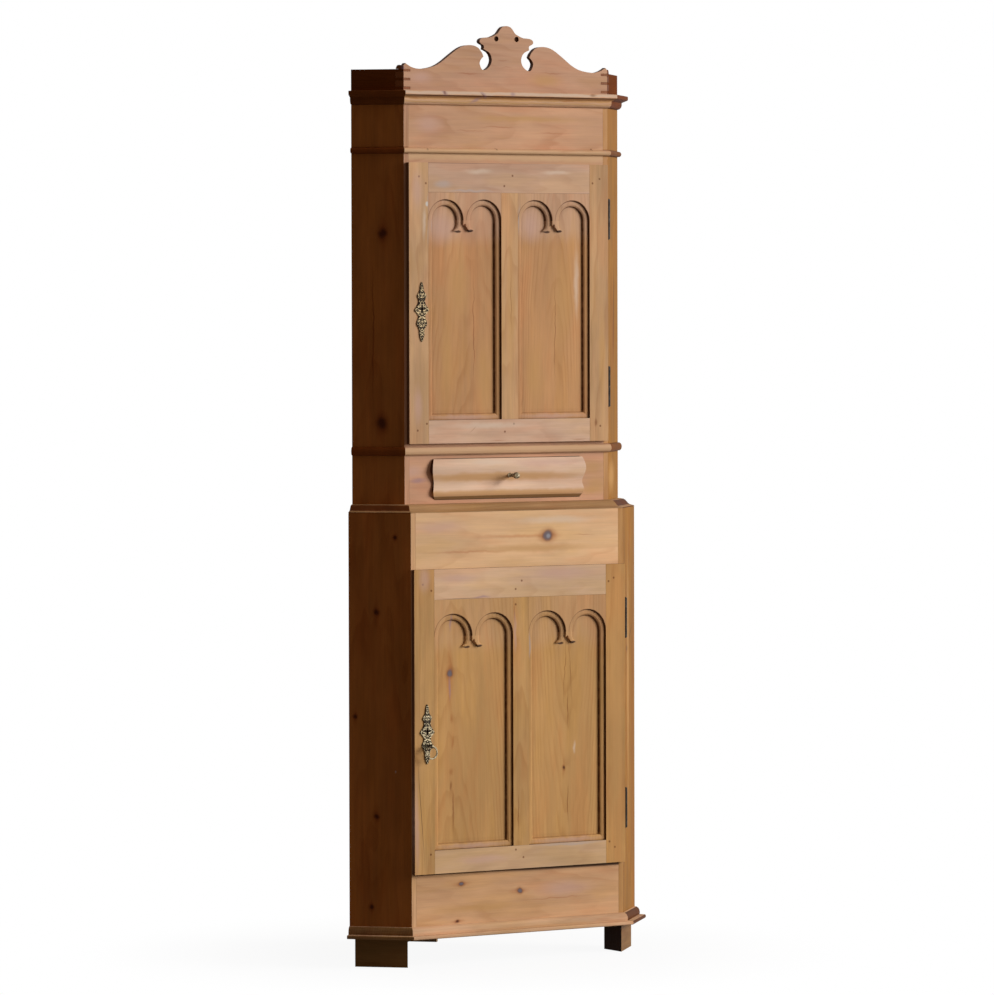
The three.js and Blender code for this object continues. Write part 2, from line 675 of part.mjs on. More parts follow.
// The leaf on the door runs into its edge, the leaf on the stage runs back into the return
function hingeLeaf(door, bottom, isDoorHalf, grow) {
  const [x, y] = hingeAxis(door);
  const [z0, z1] = leafSpan(bottom, isDoorHalf);
  const thin = hingeLeafThickness / 2 + grow;
  const reach = hingeLeafWidth + hingeRadius + grow;
  if (isDoorHalf) return block([x - reach, y - thin, z0 - grow], [x - fuseDepth, y + thin, z1 + grow]);
  return block([x - thin, y + fuseDepth, z0 - grow], [x + thin, y + reach, z1 + grow]);
}

function hingePair(door, bottom, index, prefix, stage, doorGroup) {
  const [x, y] = hingeAxis(door);
  const middle = bottom + hingeHeight / 2;
  const tip = hingeRadius * hingeTipShare;
  const bore = hingePinRadius + hingeBoreClearance;
  const lower = turnedSolid([[0, bottom], [tip, bottom], [hingeRadius, bottom + tip],
    [hingeRadius, middle - seatGap], [hingePinRadius, middle - seatGap],
    [hingePinRadius, middle + hingePinLength], [0, middle + hingePinLength + hingePinRadius]]);
  const top = bottom + hingeHeight;
  const ceiling = middle + hingePinLength + hingePinRadius + runningGap;
  const upper = turnedSolid([[0, ceiling], [bore, ceiling], [bore, middle + seatGap],
    [hingeRadius, middle + seatGap], [hingeRadius, top - tip], [tip, top], [0, top]]);
  const place = [x, y, 0];
  const frameHalf = joined(lower.translate(place), hingeLeaf(door, bottom, false, 0));
  const socket = turnedSolid([[0, middle], [bore, middle], [bore, ceiling], [0, ceiling]]).translate(place);
  const doorHalf = joined(upper.translate(place), cut(hingeLeaf(door, bottom, true, 0), socket));
  piece(`${prefix}_hinge_${index}_frame_half`, frameHalf, IRON, stage);
  piece(`${prefix}_hinge_${index}_door_half`, doorHalf, IRON, doorGroup);
}

// Locks

function keyholeSolid(x, z, front, back) {
  const round = arcRun([x, z], keyholeRadius, 0, Math.PI * 2, ringSides).slice(0, -1);
  const half = keyholeSlotWidth / 2;
  const slot = [[x - half, z], [x - half, z - keyholeSlotDrop], [x + half, z - keyholeSlotDrop], [x + half, z]];
  return joined(frontSolid(round, front, back), frontSolid(slot, front, back));
}

function lockPlateOutline(x, keyholeZ) {
  const bottom = keyholeZ + keyholeBelowPlateTop - lockPlateHeight;
  const half = smoothRun(scaled(lockPlateShares, lockPlateWidth / 2, lockPlateHeight),
    lockPlateShares.length * 2);
  const right = half.map(([across, up]) => [x + Math.max(across, 0), bottom + up]);
  const left = half.slice(1, -1).reverse().map(([across, up]) => [x - Math.max(across, 0), bottom + up]);
  return [...right, ...left];
}

// The lock plate with its keyhole; the lower one carries the post of the ring
function lockPlate(x, z, hasPost) {
  const back = -doorProud - seatGap;
  const front = back - lockPlateThickness;
  const keyhole = keyholeSolid(x, z, front - overrun, back + overrun);
  const plate = cut(frontSolid(lockPlateOutline(x, z), front, back), keyhole);
  const postZ = z - pullBelowKeyhole;
  if (!hasPost) {
    const hole = arcRun([x, postZ], emptyPostHoleRadius, 0, Math.PI * 2, ringSides).slice(0, -1);
    return cut(plate, frontSolid(hole, front - overrun, back + overrun));
  }
  const eye = -doorProud - pullPostReach;
  const stem = front - eye - pullEyeRadius;
  const post = turnedSolid([[0, -fuseDepth], [pullPostRadius * postShares[0][0], -fuseDepth],
    ...scaled(postShares, pullPostRadius, stem), [0, stem]], ringSides);
  const boss = block([x - pullEyeThickness / 2, eye - pullPostRadius, postZ - pullPostRadius],
    [x + pullEyeThickness / 2, eye + pullPostRadius + fuseDepth, postZ + pullPostRadius]);
  const ball = turnedSolid(arcRun([0, 0], pullPostRadius, -Math.PI / 2, Math.PI / 2, ringSides).map(
    ([r, h]) => [Math.max(r, 0), h])).translate([x, eye, postZ]);
  const bore = turnedSolid([[0, -overrun], [pullEyeRadius, -overrun], [pullEyeRadius, overrun], [0, overrun]])
    .rotate([0, 90, 0]).translate([x, eye, postZ]);
  const stemPlaced = post.rotate([90, 0, 0]).translate([x, front, postZ]);
  return cut(joined(plate, stemPlaced, ball.intersect(boss)), bore);
}

// Hangs in the eye of the post, a seat gap above the bottom of its hole
function ringPull(x, z) {
  const eye = -doorProud - pullPostReach;
  const wire = z - pullBelowKeyhole - (pullEyeRadius - ringWireRadius - seatGap);
  const ring = solidOf(new THREE.TorusGeometry(ringRadius, ringWireRadius, ringSides, ringSteps));
  return ring.rotate([90, 0, 0]).translate([x, eye, wire - ringRadius]);
}

// An open backed case screwed to the stile, and the bolt that slides out of its side
function lock(group, prefix, door, z) {
  const back = doorBackDepth + seatGap;
  const left = -(door.openingHalf - runningGap) + boltRetraction;
  const right = left + lockCaseWidth;
  const low = z - lockCaseHeight / 2;
  const high = z + lockCaseHeight / 2;
  const shell = block([left, back, low], [right, back + lockCaseThickness, high]);
  const inside = block([left + lockCaseWall, back - overrun, low + lockCaseWall],
    [right - lockCaseWall, back + lockCaseThickness - lockCaseWall, high - lockCaseWall]);
  const boltLevel = z + keyholeSlotDrop;
  const boltMiddle = back + (lockCaseThickness - lockCaseWall) / 2;
  const bolt = (reach, grow) => block(
    [left - reach, boltMiddle - boltThickness / 2 - grow, boltLevel - grow],
    [left + boltLength, boltMiddle + boltThickness / 2 + grow, boltLevel + boltHeight + grow]);
  piece(`${prefix}_lock_case`, cut(shell, inside, bolt(2 * boltThrow, seatGap)), IRON, group);
  piece(`${prefix}_lock_bolt`, bolt(0, 0), IRON, group);
}

// The keeper block on the inside of the left return, behind the shut door, and the mortise
// in it that the thrown bolt enters
function boltKeeper(plan, z) {
  const front = doorBackDepth + seatGap;
  const back = front + lockCaseThickness;
  const face = -openingHalf(plan) - runningGap;
  const root = (y) => -openingHalf(plan) - y - fuseDepth;
  const boltLevel = z + keyholeSlotDrop;
  const body = planSolid([[face, front], [face, back], [root(back), back], [root(front), front]],
    boltLevel - keeperMargin, boltLevel + boltHeight + keeperMargin);
  const nose = -(openingHalf(plan) - runningGap) + boltRetraction - boltThrow;
  const middle = front + (lockCaseThickness - lockCaseWall) / 2;
  const half = boltThickness / 2 + runningGap;
  const mortise = block([nose - runningGap, middle - half, boltLevel - runningGap],
    [face + overrun, middle + half, boltLevel + boltHeight + runningGap]);
  return cut(body, mortise);
}

// Door with all it carries
function hangDoor(stage, plan, prefix, door, keyholeHeight, hasRing) {
  const group = new THREE.Group();
  stage.add(group);
  const x = -door.half + keyholeFromDoorEdge;
  const z = door.bottom + keyholeHeight;
  const keyhole = keyholeSolid(x, z, -doorProud - overrun, doorBackDepth + overrun);
  const bottoms = hingeBottoms(door);
  const mortises = bottoms.map((bottom) => hingeLeaf(door, bottom, true, seatGap));
  doorFrame(group, door, prefix, keyhole, mortises);
  bottoms.forEach((bottom, i) => {
    hingePair(door, bottom, i === 0 ? 'low' : 'high', prefix, stage, group);
  });
  piece(`${prefix}_lock_plate`, lockPlate(x, z, hasRing), BRASS, group);
  lock(group, prefix, door, z);
  if (hasRing) piece('ring_pull', ringPull(x, z), BRASS, group);
}

// What the right return loses to a door's hinges
const leafMortises = (door) => hingeBottoms(door).map((bottom) => hingeLeaf(door, bottom, false, seatGap));

// Drawer

function dovetailTails(side, level, height, grow) {
  const pitch = height / drawerTailCount;
  const root = drawerFrontWidth / 2 - drawerSideThickness;
  const tails = [];
  for (let i = 0; i < drawerTailCount; i += 1) {
    const middle = level + pitch * i + pitch / 2;
    const narrow = pitch * tailNarrowShare / 2;
    const wide = pitch * tailWideShare / 2;
    const nose = drawerLap - grow;
    const heel = drawerFrontThickness + fuseDepth;
    const section = [[nose, middle - wide - grow], [heel, middle - narrow - grow],
      [heel, middle + narrow + grow], [nose, middle + wide + grow]];
    const [x0, x1] = [root - grow, drawerFrontWidth / 2 + grow].map((x) => side * x).sort((a, b) => a - b);
    tails.push(crossSolid(section, x0, x1));
  }
  return tails;
}

// The drawer's front: its serpentine face runs back round both ends, in front of the stage
function drawerFrontBlank(low) {
  const half = drawerFrontWidth / 2;
  const high = low + drawerFrontHeight;
  const face = scaled(drawerSectionShares, drawerBulge, drawerFrontHeight)
    .map(([out, up]) => [-out, low + up]);
  const bar = crossSolid([[drawerFrontThickness, low], ...face, [drawerFrontThickness, high]], -half, half);
  const length = crossSolid([[-seatGap, low], ...face, [-seatGap, high]],
    -half - drawerBulge, half + drawerBulge);
  const end = face.map(([y, z]) => [half - y, z]);
  const seen = frontSolid([...end, ...mirrored(end).reverse()], -drawerBulge - overrun, -seatGap);
  return joined(bar, length.intersect(seen));
}

function buildDrawer(stage, plan, bottom) {
  const drawer = new THREE.Group();
  stage.add(drawer);
  const half = drawerFrontWidth / 2;
  const seat = bottom + seatGap;
  const sideHeight = drawerFrontHeight - drawerSideDrop;
  const sideTop = seat + sideHeight;
  const tailsOf = (side, grow) => dovetailTails(side, seat + runningGap, sideHeight - runningGap, grow);
  const floor = seat + drawerBottomRise;
  const innerHalf = half - drawerSideThickness;
  const panelHalf = innerHalf + drawerGrooveDepth - runningGap;
  const grooveHalf = innerHalf + drawerGrooveDepth;
  const grooveFront = drawerFrontThickness - drawerGrooveDepth;
  const groove = block([-grooveHalf, grooveFront, floor - seatGap],
    [grooveHalf, drawerDepth + overrun, floor + drawerBottomThickness + seatGap]);
  const knobLevel = bottom + runningGap + drawerFrontHeight * knobHeightShare;
  const knobHole = knobCutter().rotate([90, 0, 0]).translate([0, knobSeat() + seatGap, knobLevel]);
  const blank = drawerFrontBlank(bottom + runningGap);
  const front = cut(blank, ...tailsOf(1, seatGap), ...tailsOf(-1, seatGap), groove, knobHole);
  piece('drawer_front', front, WOOD_FACE, drawer);
  for (const [name, side] of [['left', -1], ['right', 1]]) {
    const [x0, x1] = [innerHalf, half].map((x) => side * x).sort((a, b) => a - b);
    const board = block([x0, drawerFrontThickness + seatGap, seat], [x1, drawerDepth, sideTop]);
    piece(`drawer_side_${name}`, cut(joined(board, ...tailsOf(side, 0)), groove), WOOD_INSIDE, drawer);
  }
  const backBoard = block(
    [-innerHalf + seatGap, drawerDepth - drawerSideThickness, floor + drawerBottomThickness + 2 * seatGap],
    [innerHalf - seatGap, drawerDepth, sideTop - drawerGrooveDepth]);
  piece('drawer_back', backBoard, WOOD_INSIDE, drawer);
  const bottomBoard = block([-panelHalf, grooveFront + runningGap, floor],
    [panelHalf, drawerDepth, floor + drawerBottomThickness]);
  piece('drawer_bottom', bottomBoard, WOOD_INSIDE, drawer);
  piece('drawer_knob', drawerKnob().rotate([90, 0, 0]).translate([0, knobSeat(), knobLevel]), BRASS, drawer);
}

const knobSeat = () => -drawerBulge * knobSeatShare - seatGap;

function drawerKnob() {
  const stem = knobSeat() - knobTenonEnd;
  const tenonEnd = [[0, stem], [knobTenonRadius, stem], [knobTenonRadius, 0]];
  return turnedSolid([...tenonEnd, ...scaled(knobShares, knobRadius, knobLength)]);
}

// The hole for the knob's tenon, and above it the seat let into the sloping face
function knobCutter() {
  const tenonHole = knobTenonRadius + seatGap;
  const seat = knobRadius * knobShares[0][0] + seatGap;
  const end = knobSeat() - knobTenonEnd - seatGap;
  return turnedSolid([[0, end], [tenonHole, end], [tenonHole, 0], [seat, 0], [seat, drawerBulge],
    [0, drawerBulge]]);
}

// Cresting

function crestOutline(half) {
  const right = [];
  crestRunShares.forEach((run, i) => {
    right.push(...smoothRun(scaled(run, half, crestingHeight), crestRunSteps[i]).slice(i === 0 ? 0 : 1));
  });
  right.push(...scaled(crestEndShares, galleryThickness, crestingHeight).map(([x, z]) => [half + x, z]));
  const end = half + galleryThickness;
  return [...right, [end, 0], [-end, 0], ...mirrored(right).slice(1).reverse()];
}

// The strip that a gallery side takes up in plan, run out to the front face
function galleryStrip(plan) {
  const inner = plan.returnFace - galleryThickness;
  return [[plan.frontWidth / 2, 0], inPlan(plan.returnFace, plan.wallFace), inPlan(inner, plan.wallFace),
    [inner * SQRT2, 0]];
}

function galleryPins(plan, level, grow) {
  const pitch = (gallerySideHeight - galleryPinHeight - galleryPinInset) / (galleryPinCount - 1);
  const strip = galleryStrip(plan);
  const inner = plan.returnFace - galleryThickness - grow;
  const outside = plan.frontWidth / 2 + galleryThickness + overrun;
  const pins = [];
  for (let i = 0; i < galleryPinCount; i += 1) {
    const low = level + galleryPinInset + pitch * i;
    const points = grow > 0
      ? [[outside, -overrun], [outside, galleryThickness + overrun],
        [inner * SQRT2 + galleryThickness + overrun, galleryThickness + overrun], [inner * SQRT2 - overrun, -overrun]]
      : strip;
    pins.push(planSolid(points, low - grow, low + galleryPinHeight + grow));
  }
  return pins;
}

// The band in plan that the gallery and the cresting stand on
function galleryBand(plan, grow, bottom, top) {
  const outer = planSolid(outline(plan, { front: -grow, side: -grow, back: -overrun }), bottom, top);
  const inset = galleryThickness + grow;
  const inside = outline(plan, { front: inset, side: inset, back: -2 * overrun });
  return cut(outer, planSolid(inside, bottom - overrun, top + overrun));
}

function buildCresting(stage, plan, level) {
  const half = plan.frontWidth / 2;
  const foot = galleryBand(plan, 0, level - galleryHousingDepth + seatGap, level + fuseDepth);
  const standing = outline(plan, { front: 0, side: 0, back: 0 });
  const corner = planSolid(standing, level - galleryHousingDepth, level + crestingHeight);
  const behind = block([0, galleryThickness + seatGap, level - galleryHousingDepth],
    [plan.frontWidth, plan.depth, level + gallerySideHeight + overrun]);
  const eyes = [-1, 1].map((side) => {
    const middle = [side * crestEyeShares[0] * half, level + crestEyeShares[1] * crestingHeight];
    const round = arcRun(middle, crestEyeRadius, 0, Math.PI * 2, turnedSides).slice(0, -1);
    return frontSolid(round, -overrun, crestEyeDepth);
  });
  const front = frontSolid(crestOutline(half), 0, galleryThickness).translate([0, 0, level]);
  const end = half + galleryThickness;
  const frontFoot = block([-end, 0, level - galleryHousingDepth], [end, galleryThickness, level + fuseDepth]);
  const slots = galleryPins(plan, level, seatGap);
  const slotsLeft = slots.map((slot) => slot.mirror([1, 0, 0]));
  const fretted = joined(front, foot.intersect(frontFoot)).intersect(corner);
  piece('cresting_board', cut(fretted, ...slots, ...slotsLeft, ...eyes), WOOD_FACE, stage);
  const side = joined(planSolid(galleryStrip(plan), level, level + gallerySideHeight), foot).intersect(corner);
  const board = joined(side.intersect(behind), ...galleryPins(plan, level, 0));
  piece('gallery_right', board, WOOD_FACE, stage);
  piece('gallery_left', board.mirror([1, 0, 0]), WOOD_FACE, stage);
}

// Lower stage

function lowerLevels() {
  const doorBottom = footHeight + baseMouldingHeight + plinthHeight;
  const doorTop = doorBottom + lowerDoorHeight;
  return { doorBottom, doorTop, top: doorTop + lowerFriezeHeight };
}

function buildFeet(stage, plan) {
  const corner = plan.frontWidth / 2 + footStart;
  const outer = plan.returnFace - footInset;
  const inner = outer - footThickness;
  const end = plan.returnFace + footLength;
  const front = corner - outer * SQRT2;
  const right = [[corner, front], inPlan(outer, end), inPlan(inner, end), [corner, corner - inner * SQRT2]];
  for (const [side, points] of [['right', right], ['left', mirrored(right)]]) {
    piece(`foot_${side}`, planSolid(points, 0, footHeight - seatGap), WOOD_FACE, stage);
  }
}

// The lower stage's top: a plate inside the boards and, on them, the moulded rim that the
// upper stage stands inside
function buildLowerTop(stage, plan, upperPlan, setback, top) {
  const level = top + seatGap;
  const face = scaled(waistSectionShares, setback, waistMouldingHeight).map(([out, up]) => [out, level + up]);
  const rim = mitredRun(frontRun(plan), [[0, level], ...face, [face[face.length - 1][0], level]]);
  const inside = {
    front: frontThickness + seatGap, side: returnThickness + seatGap, back: backThickness + seatGap
  };
  const plate = planSolid(outline(plan, inside), top - topPlateThickness, level + fuseDepth);
  const standing = outline(upperPlan, { front: -seatGap, side: -seatGap, back: -overrun })
    .map(([x, y]) => [x, y + setback]);
  const well = planSolid(standing, level, level + waistMouldingHeight + overrun);
  piece('lower_top_board', cut(joined(plate, rim), well), WOOD_MOULDING, stage);
}

function buildLowerStage(cupboard, plan, upperPlan, setback) {
  const stage = new THREE.Group();
  cupboard.add(stage);
  const { doorBottom, doorTop, top } = lowerLevels();
  const sill = doorBottom + doorLipOverlap;
  const head = doorTop - doorLipOverlap;
  const floorLevel = sill - seatGap * 2;
  const floor = levelBoard(plan, frontThickness + seatGap, floorLevel - shelfThickness, shelfThickness);
  const shelfLevel = (sill + head) / 2;
  const shelf = levelBoard(plan, shelfSetback, shelfLevel, shelfThickness);
  const door = doorSizes(plan, doorBottom, {
    height: lowerDoorHeight, inset: lowerDoorInset, stileWidth: lowerStileWidth, muntinWidth: lowerMuntinWidth,
    topRailHeight: lowerTopRailHeight, spandrel: lowerSpandrelHeight,
  });
  carcass(stage, plan, 'lower', {
    bottom: footHeight, top, rearLeg: footHeight, beads: [],
    housings: [floor.housing, shelf.housing],
    returnCuts: [frontRebate(plan, footHeight - overrun, sill), frontRebate(plan, head, top + overrun),
      ...leafMortises(door)],
    keeper: boltKeeper(plan, doorBottom + lowerKeyholeHeight),
  });
  piece('lower_rail_bottom', frontBoard(plan, footHeight, sill), WOOD_FACE, stage);
  piece('lower_rail_top', frontBoard(plan, head, top), WOOD_FACE, stage);
  piece('lower_floor_board', floor.board, WOOD_INSIDE, stage);
  piece('lower_shelf', shelf.board, WOOD_INSIDE, stage);
  const base = plantedRun(plan, baseSectionShares, baseMouldingProjection, baseMouldingHeight, footHeight, seatGap);
  piece('base_moulding', base, WOOD_MOULDING, stage);
  buildFeet(stage, plan);
  buildLowerTop(stage, plan, upperPlan, setback, top);
  hangDoor(stage, plan, 'lower_door', door, lowerKeyholeHeight, true);
  return top;
}

// Upper stage

function upperLevels() {
  const drawerBottom = waistMouldingHeight + stripBelowDrawer - seatGap - runningGap;
  const beadBottom = drawerBottom + 2 * runningGap + drawerFrontHeight + stripAboveDrawer;
  const doorBottom = beadBottom + waistBeadHeight + stripBelowUpperDoor;
  const doorTop = doorBottom + upperDoorHeight;
  const friezeBead = doorTop + stripAboveUpperDoor;
  const top = friezeBead + friezeBeadHeight + upperFriezeHeight;
  return { drawerBottom, beadBottom, doorBottom, doorTop, friezeBead, top };
}

function buildFrontBoards(stage, plan, levels, waistBead, friezeBead) {
  const sill = levels.doorBottom + doorLipOverlap;
  const head = levels.doorTop - doorLipOverlap;
  const holeHalf = drawerFrontWidth / 2 + runningGap;
  const holeTop = levels.drawerBottom + drawerFrontHeight + 2 * runningGap;
  const hole = block([-holeHalf, -overrun, levels.drawerBottom], [holeHalf, frontThickness + overrun, holeTop]);
  piece('drawer_surround', joined(cut(frontBoard(plan, 0, sill), hole), waistBead.front), WOOD_FACE, stage);
  piece('frieze_board', joined(frontBoard(plan, head, levels.top), friezeBead.front), WOOD_FACE, stage);
}

function buildCornice(stage, plan, level) {
  const plate = planSolid(outline(plan, { front: 0, side: 0, back: 0 }), level, level + corniceHeight);
  const edge = plantedRun(plan, corniceSectionShares, corniceProjection, corniceHeight, level, -fuseDepth);
  const top = level + corniceHeight;
  const groove = galleryBand(plan, seatGap, top - galleryHousingDepth, top + overrun);
  piece('cornice_top_board', cut(joined(plate, edge), groove), WOOD_MOULDING, stage);
}

function buildUpperStage(cupboard, plan, setback, base) {
  const stage = new THREE.Group();
  stage.position.set(0, setback, base);
  cupboard.add(stage);
  const levels = upperLevels();
  const sill = levels.doorBottom + doorLipOverlap;
  const head = levels.doorTop - doorLipOverlap;
  const behind = frontThickness + seatGap;
  const runner = levelBoard(plan, behind, levels.drawerBottom - shelfThickness, shelfThickness);
  const floor = levelBoard(plan, behind, sill - 2 * seatGap - shelfThickness, shelfThickness);
  const shelf = levelBoard(plan, shelfSetback, (sill + head) / 2, shelfThickness);
  const door = doorSizes(plan, levels.doorBottom, {
    height: upperDoorHeight, inset: upperDoorInset, stileWidth: upperStileWidth, muntinWidth: upperMuntinWidth,
    topRailHeight: upperTopRailHeight, spandrel: upperSpandrelHeight,
  });
  const waistBead = beadParts(plan, waistBeadHeight, levels.beadBottom);
  const friezeBead = beadParts(plan, friezeBeadHeight, levels.friezeBead);
  carcass(stage, plan, 'upper', {
    bottom: 0, top: levels.top, rearLeg: 0, beads: [waistBead, friezeBead],
    housings: [runner.housing, floor.housing, shelf.housing],
    returnCuts: [frontRebate(plan, -overrun, sill), frontRebate(plan, head, levels.top + overrun),
      ...leafMortises(door)],
    keeper: boltKeeper(plan, levels.doorBottom + upperKeyholeHeight),
  });
  piece('drawer_board', runner.board, WOOD_INSIDE, stage);
  piece('upper_floor_board', floor.board, WOOD_INSIDE, stage);
  piece('upper_shelf', shelf.board, WOOD_INSIDE, stage);
  buildFrontBoards(stage, plan, levels, waistBead, friezeBead);
  buildDrawer(stage, plan, levels.drawerBottom);
  buildCornice(stage, plan, levels.top + seatGap);
  buildCresting(stage, plan, levels.top + corniceHeight + 2 * seatGap);
  hangDoor(stage, plan, 'upper_door', door, upperKeyholeHeight, false);
}

function buildCupboard() {
  const lowerPlan = makePlan(lowerFrontWidth, lowerReturnLength);
  const upperPlan = makePlan(lowerFrontWidth - frontWidthStep, lowerReturnLength - returnLengthStep);
  const setback = lowerPlan.depth - upperPlan.depth;
  const cupboard = new THREE.Group();
  const lowerTop = buildLowerStage(cupboard, lowerPlan, upperPlan, setback);
  buildUpperStage(cupboard, upperPlan, setback, lowerTop + 2 * seatGap);
  const frontmost = doorProud + pullPostReach + pullPostRadius;
  cupboard.position.y = -(lowerPlan.depth - frontmost) / 2;
  return cupboard;
}

export default buildCupboard();
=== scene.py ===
import math

import bpy
from mathutils import Matrix, Vector

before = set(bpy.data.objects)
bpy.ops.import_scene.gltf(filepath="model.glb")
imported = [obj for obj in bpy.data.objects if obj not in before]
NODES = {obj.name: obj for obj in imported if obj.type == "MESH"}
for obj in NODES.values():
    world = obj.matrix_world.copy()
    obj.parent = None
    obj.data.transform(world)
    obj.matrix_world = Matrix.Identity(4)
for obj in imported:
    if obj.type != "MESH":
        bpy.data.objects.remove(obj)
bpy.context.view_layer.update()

# Lengths are in metres, angles in degrees, and colours linear unless srgb() makes them so.
# Planes of the two stages' fronts and their half widths
LOWER_FRONT, UPPER_FRONT = -0.2152, -0.1743
LOWER_HALF, UPPER_HALF = 0.2725, 0.262

# Camera

CAMERA_AZIMUTH = 33.0  # left of the front's normal
CAMERA_RISE = 1.9
CAMERA_ROLL = -0.13
CAMERA_DISTANCE = 12.47
CAMERA_FOCAL, CAMERA_SENSOR, CAMERA_REACH = 210.05, 36, 100  # millimetres, millimetres, metres
TARGET = Vector((-0.0547, -0.217, 1.0006))


def outward(azimuth, elevation):
    """The direction that points right of the front's normal and above the floor by two angles."""
    a, e = math.radians(azimuth), math.radians(elevation)
    return Vector((math.sin(a) * math.cos(e), -math.cos(a) * math.cos(e), math.sin(e)))


def add_camera():
    data = bpy.data.cameras.new("camera")
    data.lens = CAMERA_FOCAL
    data.sensor_width = CAMERA_SENSOR
    data.clip_end = CAMERA_REACH
    camera = bpy.data.objects.new("camera", data)
    bpy.context.scene.collection.objects.link(camera)
    out = outward(-CAMERA_AZIMUTH, CAMERA_RISE)
    turn = (-out).to_track_quat("-Z", "Y").to_matrix().to_4x4()
    turn = turn @ Matrix.Rotation(math.radians(CAMERA_ROLL), 4, "Z")
    camera.matrix_world = Matrix.Translation(TARGET + out * CAMERA_DISTANCE) @ turn
    bpy.context.scene.camera = camera


# Shader trees

class Tree:
    """A node tree with short calls. Values go to the socket itself, sockets are linked."""

    def __init__(self, owner):
        owner.use_nodes = True
        self.tree = owner.node_tree
        self.tree.nodes.clear()

    def node(self, kind, inputs=(), **settings):
        node = self.tree.nodes.new(kind)
        for key, value in settings.items():
            setattr(node, key, value)
        for place, value in dict(inputs).items():
            self.feed(node.inputs[place], value)
        return node

    def feed(self, socket, value):
        if isinstance(value, bpy.types.NodeSocket):
            self.tree.links.new(value, socket)
        else:
            socket.default_value = value

    def math(self, operation, *inputs):
        return self.node("ShaderNodeMath", enumerate(inputs), operation=operation).outputs[0]

    def dot(self, a, b):
        return self.node("ShaderNodeVectorMath", {0: a, 1: b}, operation="DOT_PRODUCT").outputs["Value"]

    def combine(self, x, y, z):
        return self.node("ShaderNodeCombineXYZ", {0: x, 1: y, 2: z}).outputs[0]

    def separate(self, vector):
        return self.node("ShaderNodeSeparateXYZ", {0: vector}).outputs

    def noise(self, vector, scale, detail=2.0, rough=0.5):
        inputs = {"Vector": vector, "Scale": scale, "Detail": detail, "Roughness": rough}
        return self.node("ShaderNodeTexNoise", inputs).outputs["Fac"]

    def ramp(self, value, low, high, to_low=0.0, to_high=1.0):
        inputs = {0: value, 1: low, 2: high, 3: to_low, 4: to_high}
        return self.node("ShaderNodeMapRange", inputs, interpolation_type="SMOOTHSTEP").outputs[0]

    def mix(self, factor, a, b, blend="MIX"):
        node = self.node("ShaderNodeMix", data_type="RGBA", blend_type=blend)
        self.feed(node.inputs[0], factor)
        for i, value in ((6, a), (7, b)):
            if isinstance(value, tuple):
                value = (*value, 1.0)
            self.feed(node.inputs[i], value)
        return node.outputs[2]


# Light, backdrop and floor

KEY_AZIMUTH, KEY_ELEVATION = 50, 17
KEY_DISTANCE, KEY_SIZE, KEY_POWER = 12.0, 6.0, 1740
KEY_AIM = Vector((0, -0.15, 1.0))
AMBIENT, AMBIENT_STRENGTH = (1, 0.74, 0.62, 1), 0.15
WHITE = (1, 1, 1, 1)
FLOOR_HALF, FLOOR_DROP = 60, 0.0005
FLOOR_BARE, FLOOR_PAPER = (0.3, 0.29, 0.28, 1), (0.8, 0.8, 0.8, 1)
SHADOW_NEAR, SHADOW_FAR = 0.25, 0.9  # distances between which the floor's shadow fades
SHADOW_WHITE = 0.93  # how white the floor is where its shadow is strongest


def seen_directly(t):
    """1 for camera, glossy and transmission rays."""
    path = t.node("ShaderNodeLightPath").outputs
    seen = t.math("MAXIMUM", path["Is Camera Ray"], path["Is Glossy Ray"])
    return t.math("MAXIMUM", seen, path["Is Transmission Ray"])


def add_light():
    scene = bpy.context.scene
    scene.view_settings.view_transform = "Standard"
    world = bpy.data.worlds.new("world")
    scene.world = world
    t = Tree(world)
    ambient = t.node("ShaderNodeBackground", {"Color": AMBIENT, "Strength": AMBIENT_STRENGTH})
    white = t.node("ShaderNodeBackground", {"Color": WHITE, "Strength": 1.0})
    mixed = t.node("ShaderNodeMixShader", {0: seen_directly(t), 1: ambient.outputs[0], 2: white.outputs[0]})
    t.node("ShaderNodeOutputWorld", {0: mixed.outputs[0]})

    data = bpy.data.lights.new("key", "AREA")
    data.shape = "SQUARE"
    data.size = KEY_SIZE
    data.energy = KEY_POWER
    key = bpy.data.objects.new("key", data)
    scene.collection.objects.link(key)
    out = outward(KEY_AZIMUTH, KEY_ELEVATION)
    key.location = KEY_AIM + out * KEY_DISTANCE
    key.rotation_euler = (-out).to_track_quat("-Z", "Y").to_euler()


